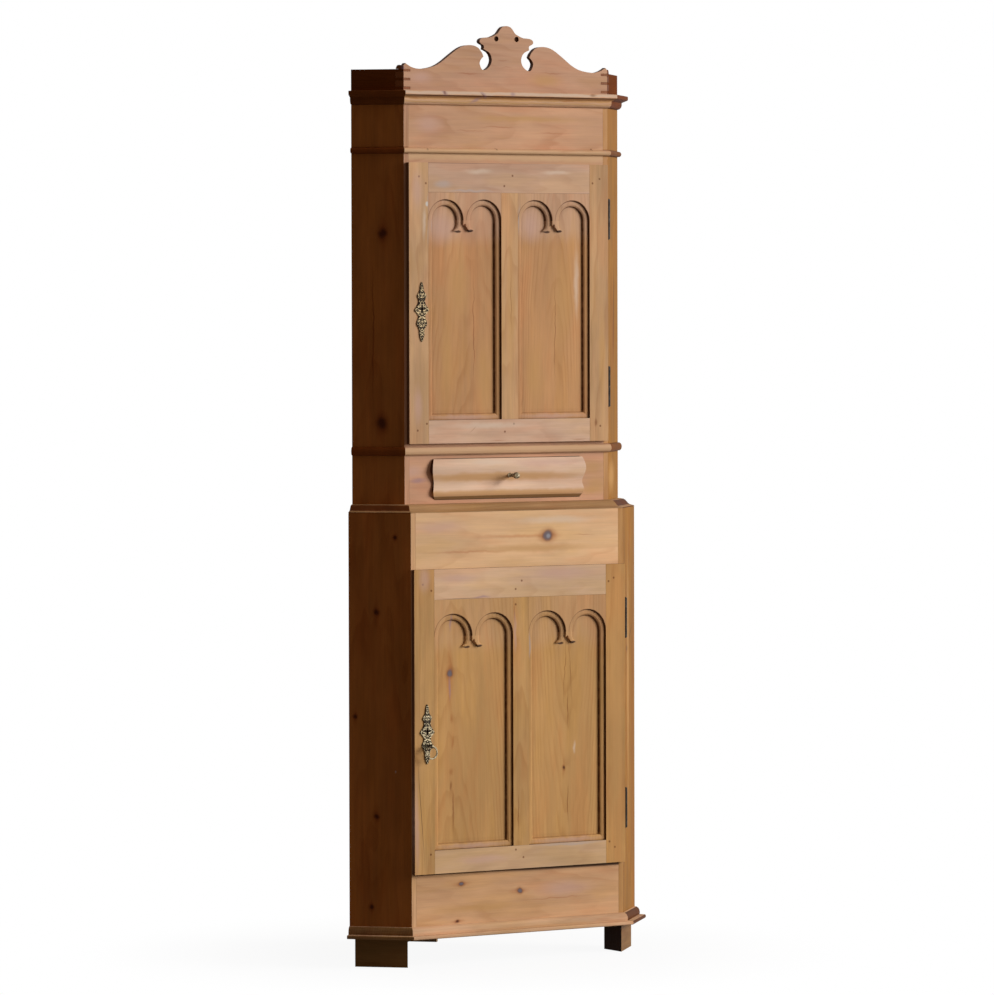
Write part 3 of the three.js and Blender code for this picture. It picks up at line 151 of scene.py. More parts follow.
def add_floor():
    """A floor that camera, glossy and transmission rays see as white paper with the object's shadow."""
    mesh = bpy.data.meshes.new("floor")
    r = FLOOR_HALF
    mesh.from_pydata([(-r, -r, 0), (r, -r, 0), (r, r, 0), (-r, r, 0)], [], [(0, 1, 2, 3)])
    floor = bpy.data.objects.new("floor", mesh)
    bpy.context.scene.collection.objects.link(floor)
    floor.location.z = -FLOOR_DROP
    material = bpy.data.materials.new("floor")
    t = Tree(material)
    bare = t.node("ShaderNodeBsdfDiffuse", {"Color": FLOOR_BARE}).outputs[0]
    paper = t.node("ShaderNodeBsdfDiffuse", {"Color": FLOOR_PAPER}).outputs[0]
    white = t.node("ShaderNodeEmission", {"Color": WHITE, "Strength": 1.0}).outputs[0]
    position = t.node("ShaderNodeTexCoord").outputs["Object"]
    away = t.node("ShaderNodeVectorMath", {0: position}, operation="LENGTH").outputs["Value"]
    whiteness = t.ramp(away, SHADOW_NEAR, SHADOW_FAR, SHADOW_WHITE, 1.0)
    seen = t.node("ShaderNodeMixShader", {0: whiteness, 1: paper, 2: white}).outputs[0]
    mixed = t.node("ShaderNodeMixShader", {0: seen_directly(t), 1: bare, 2: seen})
    t.node("ShaderNodeOutputMaterial", {0: mixed.outputs[0]})
    floor.data.materials.append(material)


# Pine

X, Y, Z = (1, 0, 0), (0, 1, 0), (0, 0, 1)
H = math.sqrt(0.5)
MITRE = 0.4142  # tangent of half the angle between the front and a side length
UPRIGHT = (Z, X)  # grain direction, direction across the board's face
LEVEL = (X, Z)
FLAT = (X, Y)


def srgb(r, g, b):
    return tuple((c / 255 / 12.92) if c <= 10 else ((c / 255 + 0.055) / 1.055) ** 2.4 for c in (r, g, b))


SIDE_LEFT, SIDE_RIGHT = srgb(154, 93, 41), srgb(140, 96, 42)  # canted side boards
EDGE_LEFT, EDGE_RIGHT = srgb(98, 51, 16), srgb(92, 44, 9)  # gallery and side lengths of the cornice
INSIDE = srgb(176, 141, 100)  # backs, floors, shelves and the drawer's box
# The narrow sides of the doors' frames are darkened as painted shade.
WALL_SHADE = srgb(96, 58, 30)  # narrow sides of the doors' frames
PIN = srgb(150, 104, 80)  # end grain of the gallery's through pins

# Noises in the wood: frequency along and across the grain and, where they are given, what is added to
# the board's seed, detail and roughness
FIBRE = (12.0, 480.0, 0.0, 3.0, 0.6)
STRIPES = (4.0, 85.0, 5.0, 2.0, 0.5)
BROAD = (3.4, 13.0, 3.0, 4.0, 0.6)
HUE = (4.2, 17.0, 11.0, 3.0, 0.6)
DRIFT = (1.8, 9.0, 0.0, 2.0)
FINE = (9.0, 40.0, 7.3, 1.0)
FADE = (3.0, 17.0)

# Ramps over a growth ring, from 0 at its start to 1 at its end, and over the noise by which the late
# wood fades along the board
INTO_LATE, OUT_OF_LATE, FADING = (0.4, 0.86), (0.88, 1.0, 1.0, 0.0), (0.34, 0.62, 0.15, 1.0)
UNEVENNESS = 1.6  # how far the fine noise moves a growth ring, in ring widths

# Tints that the wood is multiplied by: colour, share, and a ramp over the hue noise. The late wood's
# share is its board's contrast.
RED = ((1.02, 0.9, 0.84), 0.65, (0.48, 0.66, 0.0, 1.0))
YELLOW = ((1.0, 0.965, 0.76), 0.5, (0.34, 0.52, 1.0, 0.0))
LATE_WOOD = (0.6, 0.4, 0.25)
# The next colour is painted shade, with some wax and dust in it.
CORNER_SHADE_AND_WAX, CORNER_SHADE_AND_WAX_SHARE = (0.1, 0.036, 0.012), 0.88  # in the corners of the arched mouldings

# Limits of a normal's component: past TO_TOP, TO_FRONT or TO_LEFT a face looks up, to the front or to
# the left, and below EDGEWAYS it is square to the front
TO_TOP, TO_FRONT, TO_LEFT, EDGEWAYS = (0.9, 0.98), (-0.95, -0.85), (-0.98, -0.9), (0.3, 0.6)
SEAM = 0.0006  # half the width over which the colour changes at a mitre
BEVEL_START, BEVEL_FULL = 0.0008, 0.0004  # how far inside a mitred end its colour begins and is full
LEFT, RIGHT = -0.01, 0.01  # where the left side's colour ends and the right side's begins
ABOVE_FADE, ABOVE_WANDER = 0.045, 0.03  # height of the change to the colour above, and its unevenness
RELIEF, RELIEF_DEPTH = 0.2, 0.0006  # of the grain


def board_frame(t, axes, mirror=False):
    """The point's places along the grain, across the face and into the board, in metres."""
    point = t.node("ShaderNodeTexCoord").outputs["Object"]
    if mirror:
        point = t.node("ShaderNodeVectorMath", {0: point}, operation="ABSOLUTE").outputs[0]
    along, across = Vector(axes[0]), Vector(axes[1])
    through = along.cross(across)
    return [t.dot(point, tuple(axis)) for axis in (along, across, through)]


def grain_noise(t, place, kind, seed):
    """Noise that is drawn out along the grain."""
    u, v, w = place
    along, across, added, detail, roughness = kind
    return t.noise(t.combine(t.math("MULTIPLY", u, along), t.math("MULTIPLY", v, across),
                             t.math("MULTIPLY_ADD", w, across, seed + added)), 1.0, detail, roughness)


def ring_noise(t, place, kind, seed):
    """Noise from -0.5 to 0.5 that bends the growth rings."""
    u, v, w = place
    along, across, added, detail = kind
    return t.math("SUBTRACT", t.noise(t.combine(
        t.math("MULTIPLY", u, along), t.math("MULTIPLY", v, across),
        t.math("ADD", w, seed + added)), 1.0, detail), 0.5)


def ring_field(t, place, seed, pith, spacing, slope, wobble):
    """Growth rings round a pith line that leans through the board: 0 in the pale early wood, 1 in
    the dark late wood, which fades and comes back along the board."""
    u, v, w = place
    drift = t.math("MULTIPLY", ring_noise(t, place, DRIFT, seed), wobble)
    fine = t.math("MULTIPLY", ring_noise(t, place, FINE, seed), spacing * UNEVENNESS)
    side = t.math("ADD", t.math("SUBTRACT", v, pith[0]), drift)
    depth = t.math("ADD", t.math("MULTIPLY_ADD", u, slope, pith[1]), w)
    radius = t.math("SQRT", t.math("ADD", t.math("MULTIPLY", side, side),
                                   t.math("MULTIPLY", depth, depth)))
    phase = t.math("FRACT", t.math("DIVIDE", t.math("ADD", radius, fine), spacing))
    late = t.math("MULTIPLY", t.ramp(phase, *INTO_LATE), t.ramp(phase, *OUT_OF_LATE))
    fade = t.combine(t.math("MULTIPLY", u, FADE[0]), t.math("MULTIPLY", v, FADE[1]), seed * 0.7)
    fade = t.noise(fade, 1.0, 1.0)
    return t.math("MULTIPLY", late, t.ramp(fade, *FADING))


# Kinds of mark on the wood: colour, how it is laid on, strength, and the shares of the mark's size at
# which it starts to fade and is gone
MARKS = {
    "knot": ((0.2, 0.14, 0.15), "MULTIPLY", 0.9, 0.3, 1.2),
    "halo": ((0.62, 0.46, 0.4), "MULTIPLY", 0.75, 0.2, 1.0),
    "streak": ((0.72, 0.5, 0.4), "MULTIPLY", 0.6, 0.0, 1.0),
    "peg": ((0.33, 0.22, 0.16), "MULTIPLY", 0.85, 0.5, 1.2),
    "dark": ((0.5, 0.36, 0.28), "MULTIPLY", 0.75, 0.1, 1.0),
    "crack": ((0.05, 0.025, 0.015), "MIX", 0.75, 0.2, 1.0),
    "pink": ((0.54, 0.335, 0.27), "MIX", 0.55, 0.1, 1.0),
    "gold": ((0.5, 0.275, 0.1), "MIX", 0.6, 0.1, 1.0),
    "grey": ((0.43, 0.36, 0.33), "MIX", 0.55, 0.2, 1.0),
    "violet": ((0.32, 0.2, 0.23), "MIX", 0.6, 0.1, 1.0),
    "pale": ((0.66, 0.52, 0.4), "MIX", 0.55, 0.1, 1.0),
    "filler": ((0.6, 0.58, 0.54), "MIX", 0.8, 0.5, 1.1),
    "heart": ((0.16, 0.135, 0.15), "MIX", 0.85, 0.35, 1.1),
    "slate": ((0.33, 0.33, 0.36), "MIX", 0.65, 0.3, 1.0),
    # Painted shade with the wood's orange in it, on the drawer's hollows and under the cornice's nose.
    "amber_shade": ((0.55, 0.29, 0.1), "MIX", 0.7, 0.3, 1.0),
    # Painted shadow in a gap between parts.
    "gap_shadow": ((0.04, 0.016, 0.008), "MIX", 0.9, 0.3, 1.0),
    # Painted shadow under the pendants' feet.
    "foot_shadow": ((0.05, 0.02, 0.01), "MIX", 0.95, 0.5, 1.0),
    # Painted shadow under a moulding's nose.
    "line": ((0.11, 0.04, 0.014), "MIX", 0.85, 0.3, 1.0),
    # Painted highlight on a moulding's nose.
    "cream_highlight": ((0.64, 0.5, 0.385), "MIX", 0.6, 0.6, 1.0),
    "butter": ((0.6, 0.39, 0.21), "MIX", 0.6, 0.4, 1.0),
    "bead": ((0.52, 0.38, 0.26), "MULTIPLY", 1.0, 0.85, 1.0),
    # Painted shade on an underside.
    "underside_shade": ((0.2, 0.105, 0.035), "MIX", 0.9, 0.8, 1.0),
}
# Kinds with a plain outline. The others' outlines wander.
FIXED = ("peg", "crack", "filler", "slate", "gap_shadow", "foot_shadow", "line", "underside_shade", "bead")
WANDER_FREQUENCY, WANDER_ALONG, WANDER_ACROSS = 38.0, 0.012, 0.008
KNOT_STREAK = 6  # a knot's streak is this many times longer than the knot, where its length isn't given


def marked(t, tone, u, v, seed, marks):
    """Lays the marks on a colour. A mark is its kind, its place along and across the grain, its
    half length and half width in metres, and how far it leans across the grain per metre."""
    wander = t.node("ShaderNodeTexNoise", {
        "Vector": t.combine(u, v, seed), "Scale": WANDER_FREQUENCY, "Detail": 2.0})
    wander = t.separate(wander.outputs["Color"])
    bent_u = t.math("MULTIPLY_ADD", t.math("SUBTRACT", wander[0], 0.5), WANDER_ALONG, u)
    bent_v = t.math("MULTIPLY_ADD", t.math("SUBTRACT", wander[1], 0.5), WANDER_ACROSS, v)
    bent, fixed = t.combine(bent_u, bent_v, 0.0), t.combine(u, v, 0.0)
    for kind, mu, mv, half_length, half_width, *lean in marks:
        colour, blend, strength, inner, outer = MARKS[kind]
        place = fixed if kind in FIXED else bent
        place = t.node("ShaderNodeVectorMath", {0: place, 1: (-mu, -mv, 0)}, operation="ADD").outputs[0]
        if lean:
            su, sv, _ = t.separate(place)
            place = t.combine(su, t.math("MULTIPLY_ADD", su, -lean[0], sv), 0.0)
        place = t.node("ShaderNodeVectorMath", {0: place, 1: (1 / half_length, 1 / half_width, 0)},
                       operation="MULTIPLY").outputs[0]
        far = t.node("ShaderNodeVectorMath", {0: place}, operation="LENGTH").outputs["Value"]
        tone = t.mix(t.ramp(far, inner, outer, strength, 0.0), tone, colour, blend)
    return tone


def knot(u, v, size, length=None):
    """A knot's dark heart, the ring round it and the streak through it, as marks."""
    length = length or size * KNOT_STREAK
    return [("streak", u, v, length, size * 1.4), ("halo", u, v, size * 2.4, size * 1.9),
            ("knot", u, v, size * 1.1, size)]


def arch_shade_and_wax(t, opening):
    """Painted shade, with some wax and dust in it, in the two corners that the moulding of an arched panel
    makes: with the frame round it and with the panel inside it."""
    middle, half, bottom, springing, centre, radius, band = opening
    x, y, z = t.separate(t.node("ShaderNodeTexCoord").outputs["Object"])
    across = t.math("ABSOLUTE", t.math("SUBTRACT", x, middle))
    up = t.math("SUBTRACT", z, springing)
    from_centre = t.math("SUBTRACT", across, centre)
    reach = t.math("SQRT", t.math("ADD", t.math("MULTIPLY", from_centre, from_centre),
                                  t.math("MULTIPLY", up, up)))
    above = t.math("GREATER_THAN", up, 0.0)
    straight = t.math("MINIMUM", t.math("SUBTRACT", half, across), t.math("SUBTRACT", z, bottom))
    inward = t.math("ADD", t.math("MULTIPLY", above, t.math("SUBTRACT", radius, reach)),
                    t.math("MULTIPLY", t.math("SUBTRACT", 1.0, above), straight))

    def beside(line, solid, gone):
        """1 on a line that follows the opening, down to 0 beside it."""
        return t.ramp(t.math("ABSOLUTE", t.math("SUBTRACT", inward, line)), solid, gone, 1.0, 0.0)

    outer = beside(0.0006, 0.0005, 0.0021)
    inner = beside(band + 0.0003, 0.0004, 0.0024)
    halo = t.math("MULTIPLY", beside(band, 0.001, 0.012), 0.16)
    patchy = t.ramp(t.noise(t.combine(x, y, z), 60.0, 2.0), 0.3, 0.6, 0.65, 1.0)
    foot = t.ramp(t.math("SUBTRACT", z, bottom), 0.014, 0.02, 0.4, 1.0)
    return t.math("MULTIPLY", t.math("MAXIMUM", t.math("MAXIMUM", outer, inner), halo),
                  t.math("MULTIPLY", patchy, foot))


def pine(name, colour, axes=UPRIGHT, seed=0.0, marks=(), pith=(0.0, 0.05), spacing=0.0055, slope=0.03,
         wobble=0.02, contrast=0.3, mottle=0.12, rough=0.58, shine=0.1, edge=None, above=None, front=None,
         walls=None, left_face=None, bevel=None, arch=None):
    """Old waxed pine in one colour. Parts of a board can have another:
    edge       (half, plane, left, right): side lengths of a moulding, behind its mitres
    above      (height, colour): what lies over a height
    front      what faces the room straight, on a side board
    walls      the narrow sides of a front board, in a darker colour that is painted shade
    left_face  what faces straight left, in a darker colour that is painted shade
    bevel      (half, plane, left, right): mitred ends
    arch       an arched_opening: painted shade, with some wax and dust, round it"""
    material = bpy.data.materials.new(name)
    t = Tree(material)
    u, v, w = board_frame(t, axes)
    coordinates = t.node("ShaderNodeTexCoord").outputs
    x, y, z = t.separate(coordinates["Object"])
    facing = t.separate(coordinates["Normal"])
    if edge:
        half, plane, left, right = edge
        out = t.math("ADD", t.math("ABSOLUTE", x), t.math("MULTIPLY", y, MITRE))
        mitre = half + MITRE * plane
        is_side = t.ramp(out, mitre - SEAM, mitre + SEAM)
        is_front = t.math("SUBTRACT", 1.0, is_side)
        su, _, sw = board_frame(t, ((H, H, 0), Z), mirror=True)
        u = t.math("ADD", t.math("MULTIPLY", u, is_front), t.math("MULTIPLY", su, is_side))
        w = t.math("ADD", t.math("MULTIPLY", w, is_front), t.math("MULTIPLY", sw, is_side))
    place = (u, v, w)
    late = ring_field(t, place, seed, pith, spacing, slope, wobble)
    fibre, stripes, broad, hue = (
        grain_noise(t, place, kind, seed) for kind in (FIBRE, STRIPES, BROAD, HUE))

    base = colour
    if edge:
        is_dark = t.math("MULTIPLY", is_side, t.ramp(facing[2], *TO_TOP, 1.0, 0.0))
        base = t.mix(is_dark, colour, t.mix(t.ramp(x, LEFT, RIGHT), left, right))
    if above:
        level = t.math("MULTIPLY_ADD", hue, ABOVE_WANDER, z)
        base = t.mix(t.ramp(level, above[0], above[0] + ABOVE_FADE), base, above[1])
    if front:
        base = t.mix(t.ramp(facing[1], *TO_FRONT, 1.0, 0.0), base, front)
    if walls:
        base = t.mix(t.ramp(t.math("ABSOLUTE", facing[1]), *EDGEWAYS, 1.0, 0.0), base, walls)
    if left_face:
        base = t.mix(t.ramp(facing[0], *TO_LEFT, 1.0, 0.0), base, left_face)
    if bevel:
        half, plane, left, right = bevel
        out = t.math("SUBTRACT", t.math("ABSOLUTE", x), y)
        ends = t.ramp(out, half - plane - BEVEL_START, half - plane - BEVEL_FULL)
        base = t.mix(ends, base, t.mix(t.ramp(x, LEFT, RIGHT), left, right))

    tone = base
    for tint, share, limits in (RED, YELLOW):
        tone = t.mix(t.math("MULTIPLY", t.ramp(hue, *limits), share), tone, tint, "MULTIPLY")
    tone = t.mix(t.math("MULTIPLY", late, contrast), tone, LATE_WOOD, "MULTIPLY")
    shade = t.math("MULTIPLY", t.ramp(fibre, 0.25, 0.75, 1.0 - mottle * 0.5, 1.0 + mottle * 0.4),
                   t.ramp(stripes, 0.3, 0.7, 1.0 - mottle * 0.5, 1.0 + mottle * 0.4))
    shade = t.math("MULTIPLY", shade, t.ramp(broad, 0.3, 0.7, 1.0 - mottle * 1.3, 1.0 + mottle * 1.2))
    tone = t.mix(1.0, tone, t.combine(shade, shade, shade), "MULTIPLY")

    plain = tone
    if marks:
        tone = marked(t, tone, u, v, seed, marks)
        if edge:
            unmarked = t.math("MAXIMUM", is_dark, t.ramp(facing[2], *TO_TOP))
            tone = t.mix(unmarked, tone, plain)
    if arch:
        # Painted shade, with some wax and dust, in the corners of the moulding.
        tone = t.mix(t.math("MULTIPLY", arch_shade_and_wax(t, arch), CORNER_SHADE_AND_WAX_SHARE), tone, CORNER_SHADE_AND_WAX)
        tone = t.mix(t.ramp(facing[1], *EDGEWAYS), tone, plain)

    height = t.math("ADD", t.math("MULTIPLY", late, -0.4), t.math("MULTIPLY", fibre, 0.6))
    bump = t.node("ShaderNodeBump", {"Height": height, "Strength": RELIEF, "Distance": RELIEF_DEPTH})
    dull = t.math("ADD", rough, t.math("MULTIPLY", t.math("SUBTRACT", broad, 0.5), 0.2))
    shader = t.node("ShaderNodeBsdfPrincipled", {
        "Base Color": tone, "Roughness": dull, "Specular IOR Level": shine, "Normal": bump.outputs[0]})
    t.node("ShaderNodeOutputMaterial", {0: shader.outputs[0]})
    return material


def metal(name, bright, dark, scale, rough, spread, seed=0.0, lift=0.0004, scrolls=None, edges=None):
    """Aged metal: bright where it is rubbed, dark and dull in its hollows.
    scrolls    (middle across, middle up, size, keyhole's height): relief that is the same on both
               sides of the middle, round a keyhole painted dark as its shade
    edges      the colour of the narrow sides, darkened as painted shade"""
    material = bpy.data.materials.new(name)
    t = Tree(material)
    coordinates = t.node("ShaderNodeTexCoord").outputs
    point = coordinates["Object"]
    offset = (seed, seed * 2, seed)
    place = t.node("ShaderNodeVectorMath", {0: point, 1: offset}, operation="ADD").outputs[0]
    patches = t.noise(place, scale, 3.0, 0.6)
    grain = t.noise(place, scale * 9, 2.0, 0.6)
    if scrolls:
        middle, level, size, key = scrolls
        x, _, z = t.separate(point)
        across = t.math("ABSOLUTE", t.math("SUBTRACT", x, middle))
        bent = t.noise(t.combine(across, t.math("SUBTRACT", z, level), 0.0), 1.6 / size, 1.0)
        relief = t.ramp(t.math("SINE", t.math("MULTIPLY", bent, 38.0)), -0.3, 0.75)
        # The keyhole and a patch round it are painted dark as the hole's shade.
        outside_keyhole_shade = t.math("MAXIMUM", t.ramp(across, 0.0022, 0.0036),
                            t.ramp(t.math("ABSOLUTE", t.math("SUBTRACT", z, key)), 0.006, 0.009))
        worn = t.math("MULTIPLY", relief, t.ramp(patches, 0.3, 0.6, 0.5, 1.0))
        worn = t.math("MULTIPLY", worn, outside_keyhole_shade)
        height = t.math("ADD", relief, t.math("MULTIPLY", grain, 0.1))
    else:
        mottled = t.math("ADD", t.math("MULTIPLY", patches, 0.7), t.math("MULTIPLY", grain, 0.3))
        worn = t.ramp(mottled, 0.38, 0.66)
        height = t.math("ADD", patches, t.math("MULTIPLY", grain, 0.4))
    tone = t.mix(worn, dark, bright)
    if edges:
        facing = t.separate(coordinates["Normal"])
        tone = t.mix(t.ramp(facing[1], -0.75, -0.4), tone, edges)
    bump = t.node("ShaderNodeBump", {"Height": height, "Strength": 0.6, "Distance": lift})
    shader = t.node("ShaderNodeBsdfPrincipled", {
        "Base Color": tone, "Roughness": t.ramp(worn, 0.0, 1.0, rough + spread, rough),
        "Metallic": 0.85, "Normal": bump.outputs[0]})
    t.node("ShaderNodeOutputMaterial", {0: shader.outputs[0]})
    return material


def dress(names, material):
    for name in names:
        node = NODES[name]
        node.data.materials.clear()
        node.data.materials.append(material)


def board(name, colour, seed, marks=(), **more):
    """Dresses a node in a pine of its own."""
    dress([name], pine(name, colour, seed=seed, marks=marks, **more))


PEG = 0.0027  # radius of a peg


def pegs(*places):
    """Marks of pegs in an upright board, by their place across and up."""
    return [("peg", z, x, PEG, PEG) for x, z in places]


def level_pegs(*places):
    return [("peg", x, z, PEG, PEG) for x, z in places]


# Doors

# Half width, bottom and top of each door, widths of stiles, muntin, top rail and bottom rail, and how
# far its arches' crowns lie below the top rail
DOOR_SIZES = {
    "upper_door": (UPPER_HALF - 0.006, 1.1176, 1.7181, 0.0485, 0.0425, 0.063, 0.05, 0.015),
    "lower_door": (LOWER_HALF - 0.0015, 0.1995, 0.8505, 0.05, 0.04, 0.065, 0.05, 0.031),
}
PANEL_GAP = 0.0003  # between a panel's moulding and the frame
PENDANT_HALF = 0.004  # half the distance between the two arches of a panel
ARCH_BAND = 0.013  # width of the moulding round an opening
# How far each door's pendants hang from its middle, the height of their feet, and that of the
# moulding at the panels' bottom
PENDANTS = {"upper_door": (0.1144, 1.5715, 1.173), "lower_door": (0.1205, 0.682, 0.255)}
PANEL_SIDES = {"panel_left": -1, "panel_right": 1}


def arched_opening(door, side):
    """Middle, half width, bottom, springing, arch centre, radius and moulding of a panel's opening."""
    half_door, bottom, top, stile, muntin, top_rail, bottom_rail, crown = DOOR_SIZES[door]
    width = half_door - stile - muntin / 2
    half = width / 2 - PANEL_GAP
    radius = (half - PENDANT_HALF) / 2
    springing = top - top_rail - PANEL_GAP - crown - radius
    return (side * (muntin / 2 + width / 2), half, bottom + bottom_rail, springing,
            PENDANT_HALF + radius, radius, ARCH_BAND)


def pendant_marks(middle, foot, floor):
    """Painted shadow under a pendant's two feet, and a paler band along the moulding at the panel's bottom
    that is a painted highlight.
    """
    return [("foot_shadow", foot, middle - 0.0115, 0.0036, 0.0105),
            ("foot_shadow", foot + 0.0015, middle + 0.019, 0.0036, 0.0105),
            ("pink", floor, middle, 0.009, 0.12)]


# What both doors' boards have in common. A board's number in this list is added to its door's seed.
DOOR_BOARDS = {
    "stile_lock": {"spacing": 0.0075, "slope": 0.012, "contrast": 0.22, "walls": WALL_SHADE},
    "stile_hinge": {"spacing": 0.007, "slope": 0.02, "contrast": 0.22, "walls": WALL_SHADE},
    "muntin": {"spacing": 0.006, "slope": -0.05, "contrast": 0.26, "walls": WALL_SHADE},
    "rail_top": {"axes": LEVEL, "slope": 0.05, "contrast": 0.14, "mottle": 0.09, "walls": WALL_SHADE},
    "rail_bottom": {"axes": LEVEL, "slope": -0.04, "contrast": 0.14, "mottle": 0.09, "walls": WALL_SHADE},
    "panel_left": {"spacing": 0.0062, "slope": -0.07, "wobble": 0.016, "contrast": 0.22, "mottle": 0.085},
    "panel_right": {"spacing": 0.0062, "slope": 0.07, "wobble": 0.016, "contrast": 0.22, "mottle": 0.085},
}

# Each door's seed, the height from which its panels have another colour, that colour, and of each
# board its colour, its pith and its marks
DOORS = {
    "upper_door": (1.0, 1.55, srgb(190, 150, 118), {
        "stile_lock": (srgb(195, 155, 115), (-0.21, 0.3), [
            *pegs((-0.2308, 1.6883), (-0.2134, 1.674), (-0.2355, 1.1463), (-0.2122, 1.1605)),
            ("filler", 1.63, -0.2108, 0.0062, 0.0042), ("pink", 1.2, -0.235, 0.06, 0.014),
            ("pink", 1.66, -0.235, 0.06, 0.02), ("pale", 1.59, -0.218, 0.05, 0.007),
            ("grey", 1.6, -0.2075, 0.1, 0.0022)]),
        "stile_hinge": (srgb(185, 145, 104), (0.27, 0.33), [
            *pegs((0.2335, 1.6874), (0.2153, 1.6777), (0.2347, 1.1503)),
            ("dark", 1.158, 0.222, 0.012, 0.006), ("gold", 1.3, 0.24, 0.16, 0.012)]),
        "muntin": (srgb(191, 150, 108), (0.0, 0.16), [
            ("gold", 1.4, 0.002, 0.26, 0.016), ("dark", 1.43, 0.0035, 0.1, 0.0012),
            ("violet", 1.62, 0.0215, 0.03, 0.0016)]),
        "rail_top": (srgb(191, 155, 129), (1.66, 0.3), [
            *level_pegs((0.0076, 1.692), (-0.0135, 1.6697)),
            ("pale", -0.08, 1.7, 0.05, 0.009), ("grey", -0.1, 1.6585, 0.09, 0.0036),
            ("pale", 0.12, 1.7, 0.05, 0.006), ("grey", -0.17, 1.672, 0.03, 0.012),
            # The crack along the rail's top edge is painted shadow of the gap over the door.
            ("crack", -0.19, 1.7175, 0.3, 0.0007)]),
        "rail_bottom": (srgb(204, 168, 141), (1.14, 0.29), [
            *level_pegs((0.0099, 1.1576), (-0.0134, 1.1411)),
            ("pale", -0.05, 1.155, 0.16, 0.01), ("dark", -0.095, 1.146, 0.012, 0.0012, 0.8),
            ("streak", -0.03, 1.1225, 0.03, 0.002), ("streak", 0.18, 1.1225, 0.03, 0.002)]),
        "panel_left": (srgb(188, 140, 94), (-0.0865, 0.12), [
            ("pink", 1.58, -0.165, 0.05, 0.05), ("gold", 1.45, -0.125, 0.1, 0.035),
            ("gold", 1.3, -0.155, 0.13, 0.02), ("dark", 1.36, -0.0865, 0.17, 0.0016),
            ("grey", 1.585, -0.195, 0.02, 0.004), ("gold", 1.25, -0.06, 0.12, 0.03)]),
        "panel_right": (srgb(188, 140, 94), (0.1235, 0.12), [
            ("pink", 1.585, 0.06, 0.05, 0.04), ("gold", 1.42, 0.14, 0.13, 0.045),
            ("dark", 1.36, 0.1235, 0.17, 0.0016), ("grey", 1.6, 0.0256, 0.04, 0.0032),
            ("pale", 1.46, 0.18, 0.1, 0.009), ("gold", 1.26, 0.07, 0.1, 0.03)]),
    }),
    "lower_door": (21.0, 0.675, srgb(192, 149, 103), {
        "stile_lock": (srgb(188, 145, 92), (-0.21, 0.3), [
            *pegs((-0.2495, 0.819), (-0.2281, 0.8054), (-0.2309, 0.2416)),
            ("crack", 0.335, -0.2552, 0.15, 0.0011, -0.078), ("pink", 0.3, -0.2665, 0.14, 0.009, -0.02),
            ("gold", 0.62, -0.238, 0.14, 0.009), ("pink", 0.83, -0.245, 0.04, 0.02)]),
        "stile_hinge": (srgb(184, 138, 83), (0.27, 0.33), [
            *pegs((0.2414, 0.8206), (0.2279, 0.8132), (0.2295, 0.2459), (0.2436, 0.2334)),
            ("gold", 0.52, 0.25, 0.4, 0.024)]),
        "muntin": (srgb(187, 144, 91), (0.0, 0.16), [
            *pegs((-0.0135, 0.7701)),
            ("dark", 0.746, -0.0155, 0.045, 0.0017), ("dark", 0.32, -0.0078, 0.06, 0.002),
            ("pink", 0.71, -0.015, 0.06, 0.006)]),
        "rail_top": (srgb(206, 170, 136), (0.8, 0.3), [
            *level_pegs((0.0023, 0.8208), (-0.0134, 0.8031)),
            ("pink", 0.1, 0.835, 0.13, 0.02), ("pink", -0.16, 0.83, 0.08, 0.014),
            ("violet", -0.1, 0.789, 0.03, 0.004), ("crack", -0.15, 0.7868, 0.07, 0.0008)]),
        "rail_bottom": (srgb(198, 162, 125), (0.2, 0.29), [
            *level_pegs((-0.0141, 0.241), (0.0052, 0.2237)),
            ("grey", 0.12, 0.247, 0.12, 0.005), ("pink", -0.1, 0.225, 0.1, 0.014)]),
        "panel_left": (srgb(190, 145, 90), (-0.1722, 0.12), [
            *knot(0.6272, -0.1755, 0.0085, 0.1), ("heart", 0.627, -0.1755, 0.011, 0.0078),
            ("violet", 0.7371, -0.1751, 0.026, 0.004), ("violet", 0.595, -0.1756, 0.035, 0.004),
            ("streak", 0.53, -0.1715, 0.016, 0.006), ("streak", 0.478, -0.168, 0.024, 0.004),
            ("streak", 0.415, -0.1722, 0.012, 0.008), ("dark", 0.385, -0.173, 0.014, 0.0045),
            ("gold", 0.47, -0.14, 0.09, 0.03), ("gold", 0.5, -0.065, 0.2, 0.016),
            ("dark", 0.33, -0.168, 0.06, 0.004)]),
        "panel_right": (srgb(190, 145, 90), (0.1275, 0.12), [
            ("dark", 0.62, 0.12, 0.09, 0.0016, 0.06), ("dark", 0.62, 0.135, 0.09, 0.0016, -0.06),
            ("dark", 0.54, 0.128, 0.06, 0.0022), ("pale", 0.455, 0.145, 0.018, 0.005),
            *knot(0.4132, 0.117, 0.004, 0.03), ("dark", 0.335, 0.1275, 0.06, 0.0022),
            ("gold", 0.6, 0.175, 0.14, 0.02), ("gold", 0.35, 0.085, 0.09, 0.02),
            ("grey", 0.68, 0.025, 0.04, 0.004)]),
    }),
}


def dress_doors():
    for door, (seed, height, head, boards) in DOORS.items():
        for number, (part, more) in enumerate(DOOR_BOARDS.items()):
            colour, pith, marks = boards[part]
            if part in PANEL_SIDES:
                side = PANEL_SIDES[part]
                middle, foot, floor = PENDANTS[door]
                marks = marks + pendant_marks(side * middle, foot, floor)
                more = {**more, "arch": arched_opening(door, side), "above": (height, head)}
            board(door + "_" + part, colour, seed + number, marks, pith=pith, **more)


# Front boards and mouldings

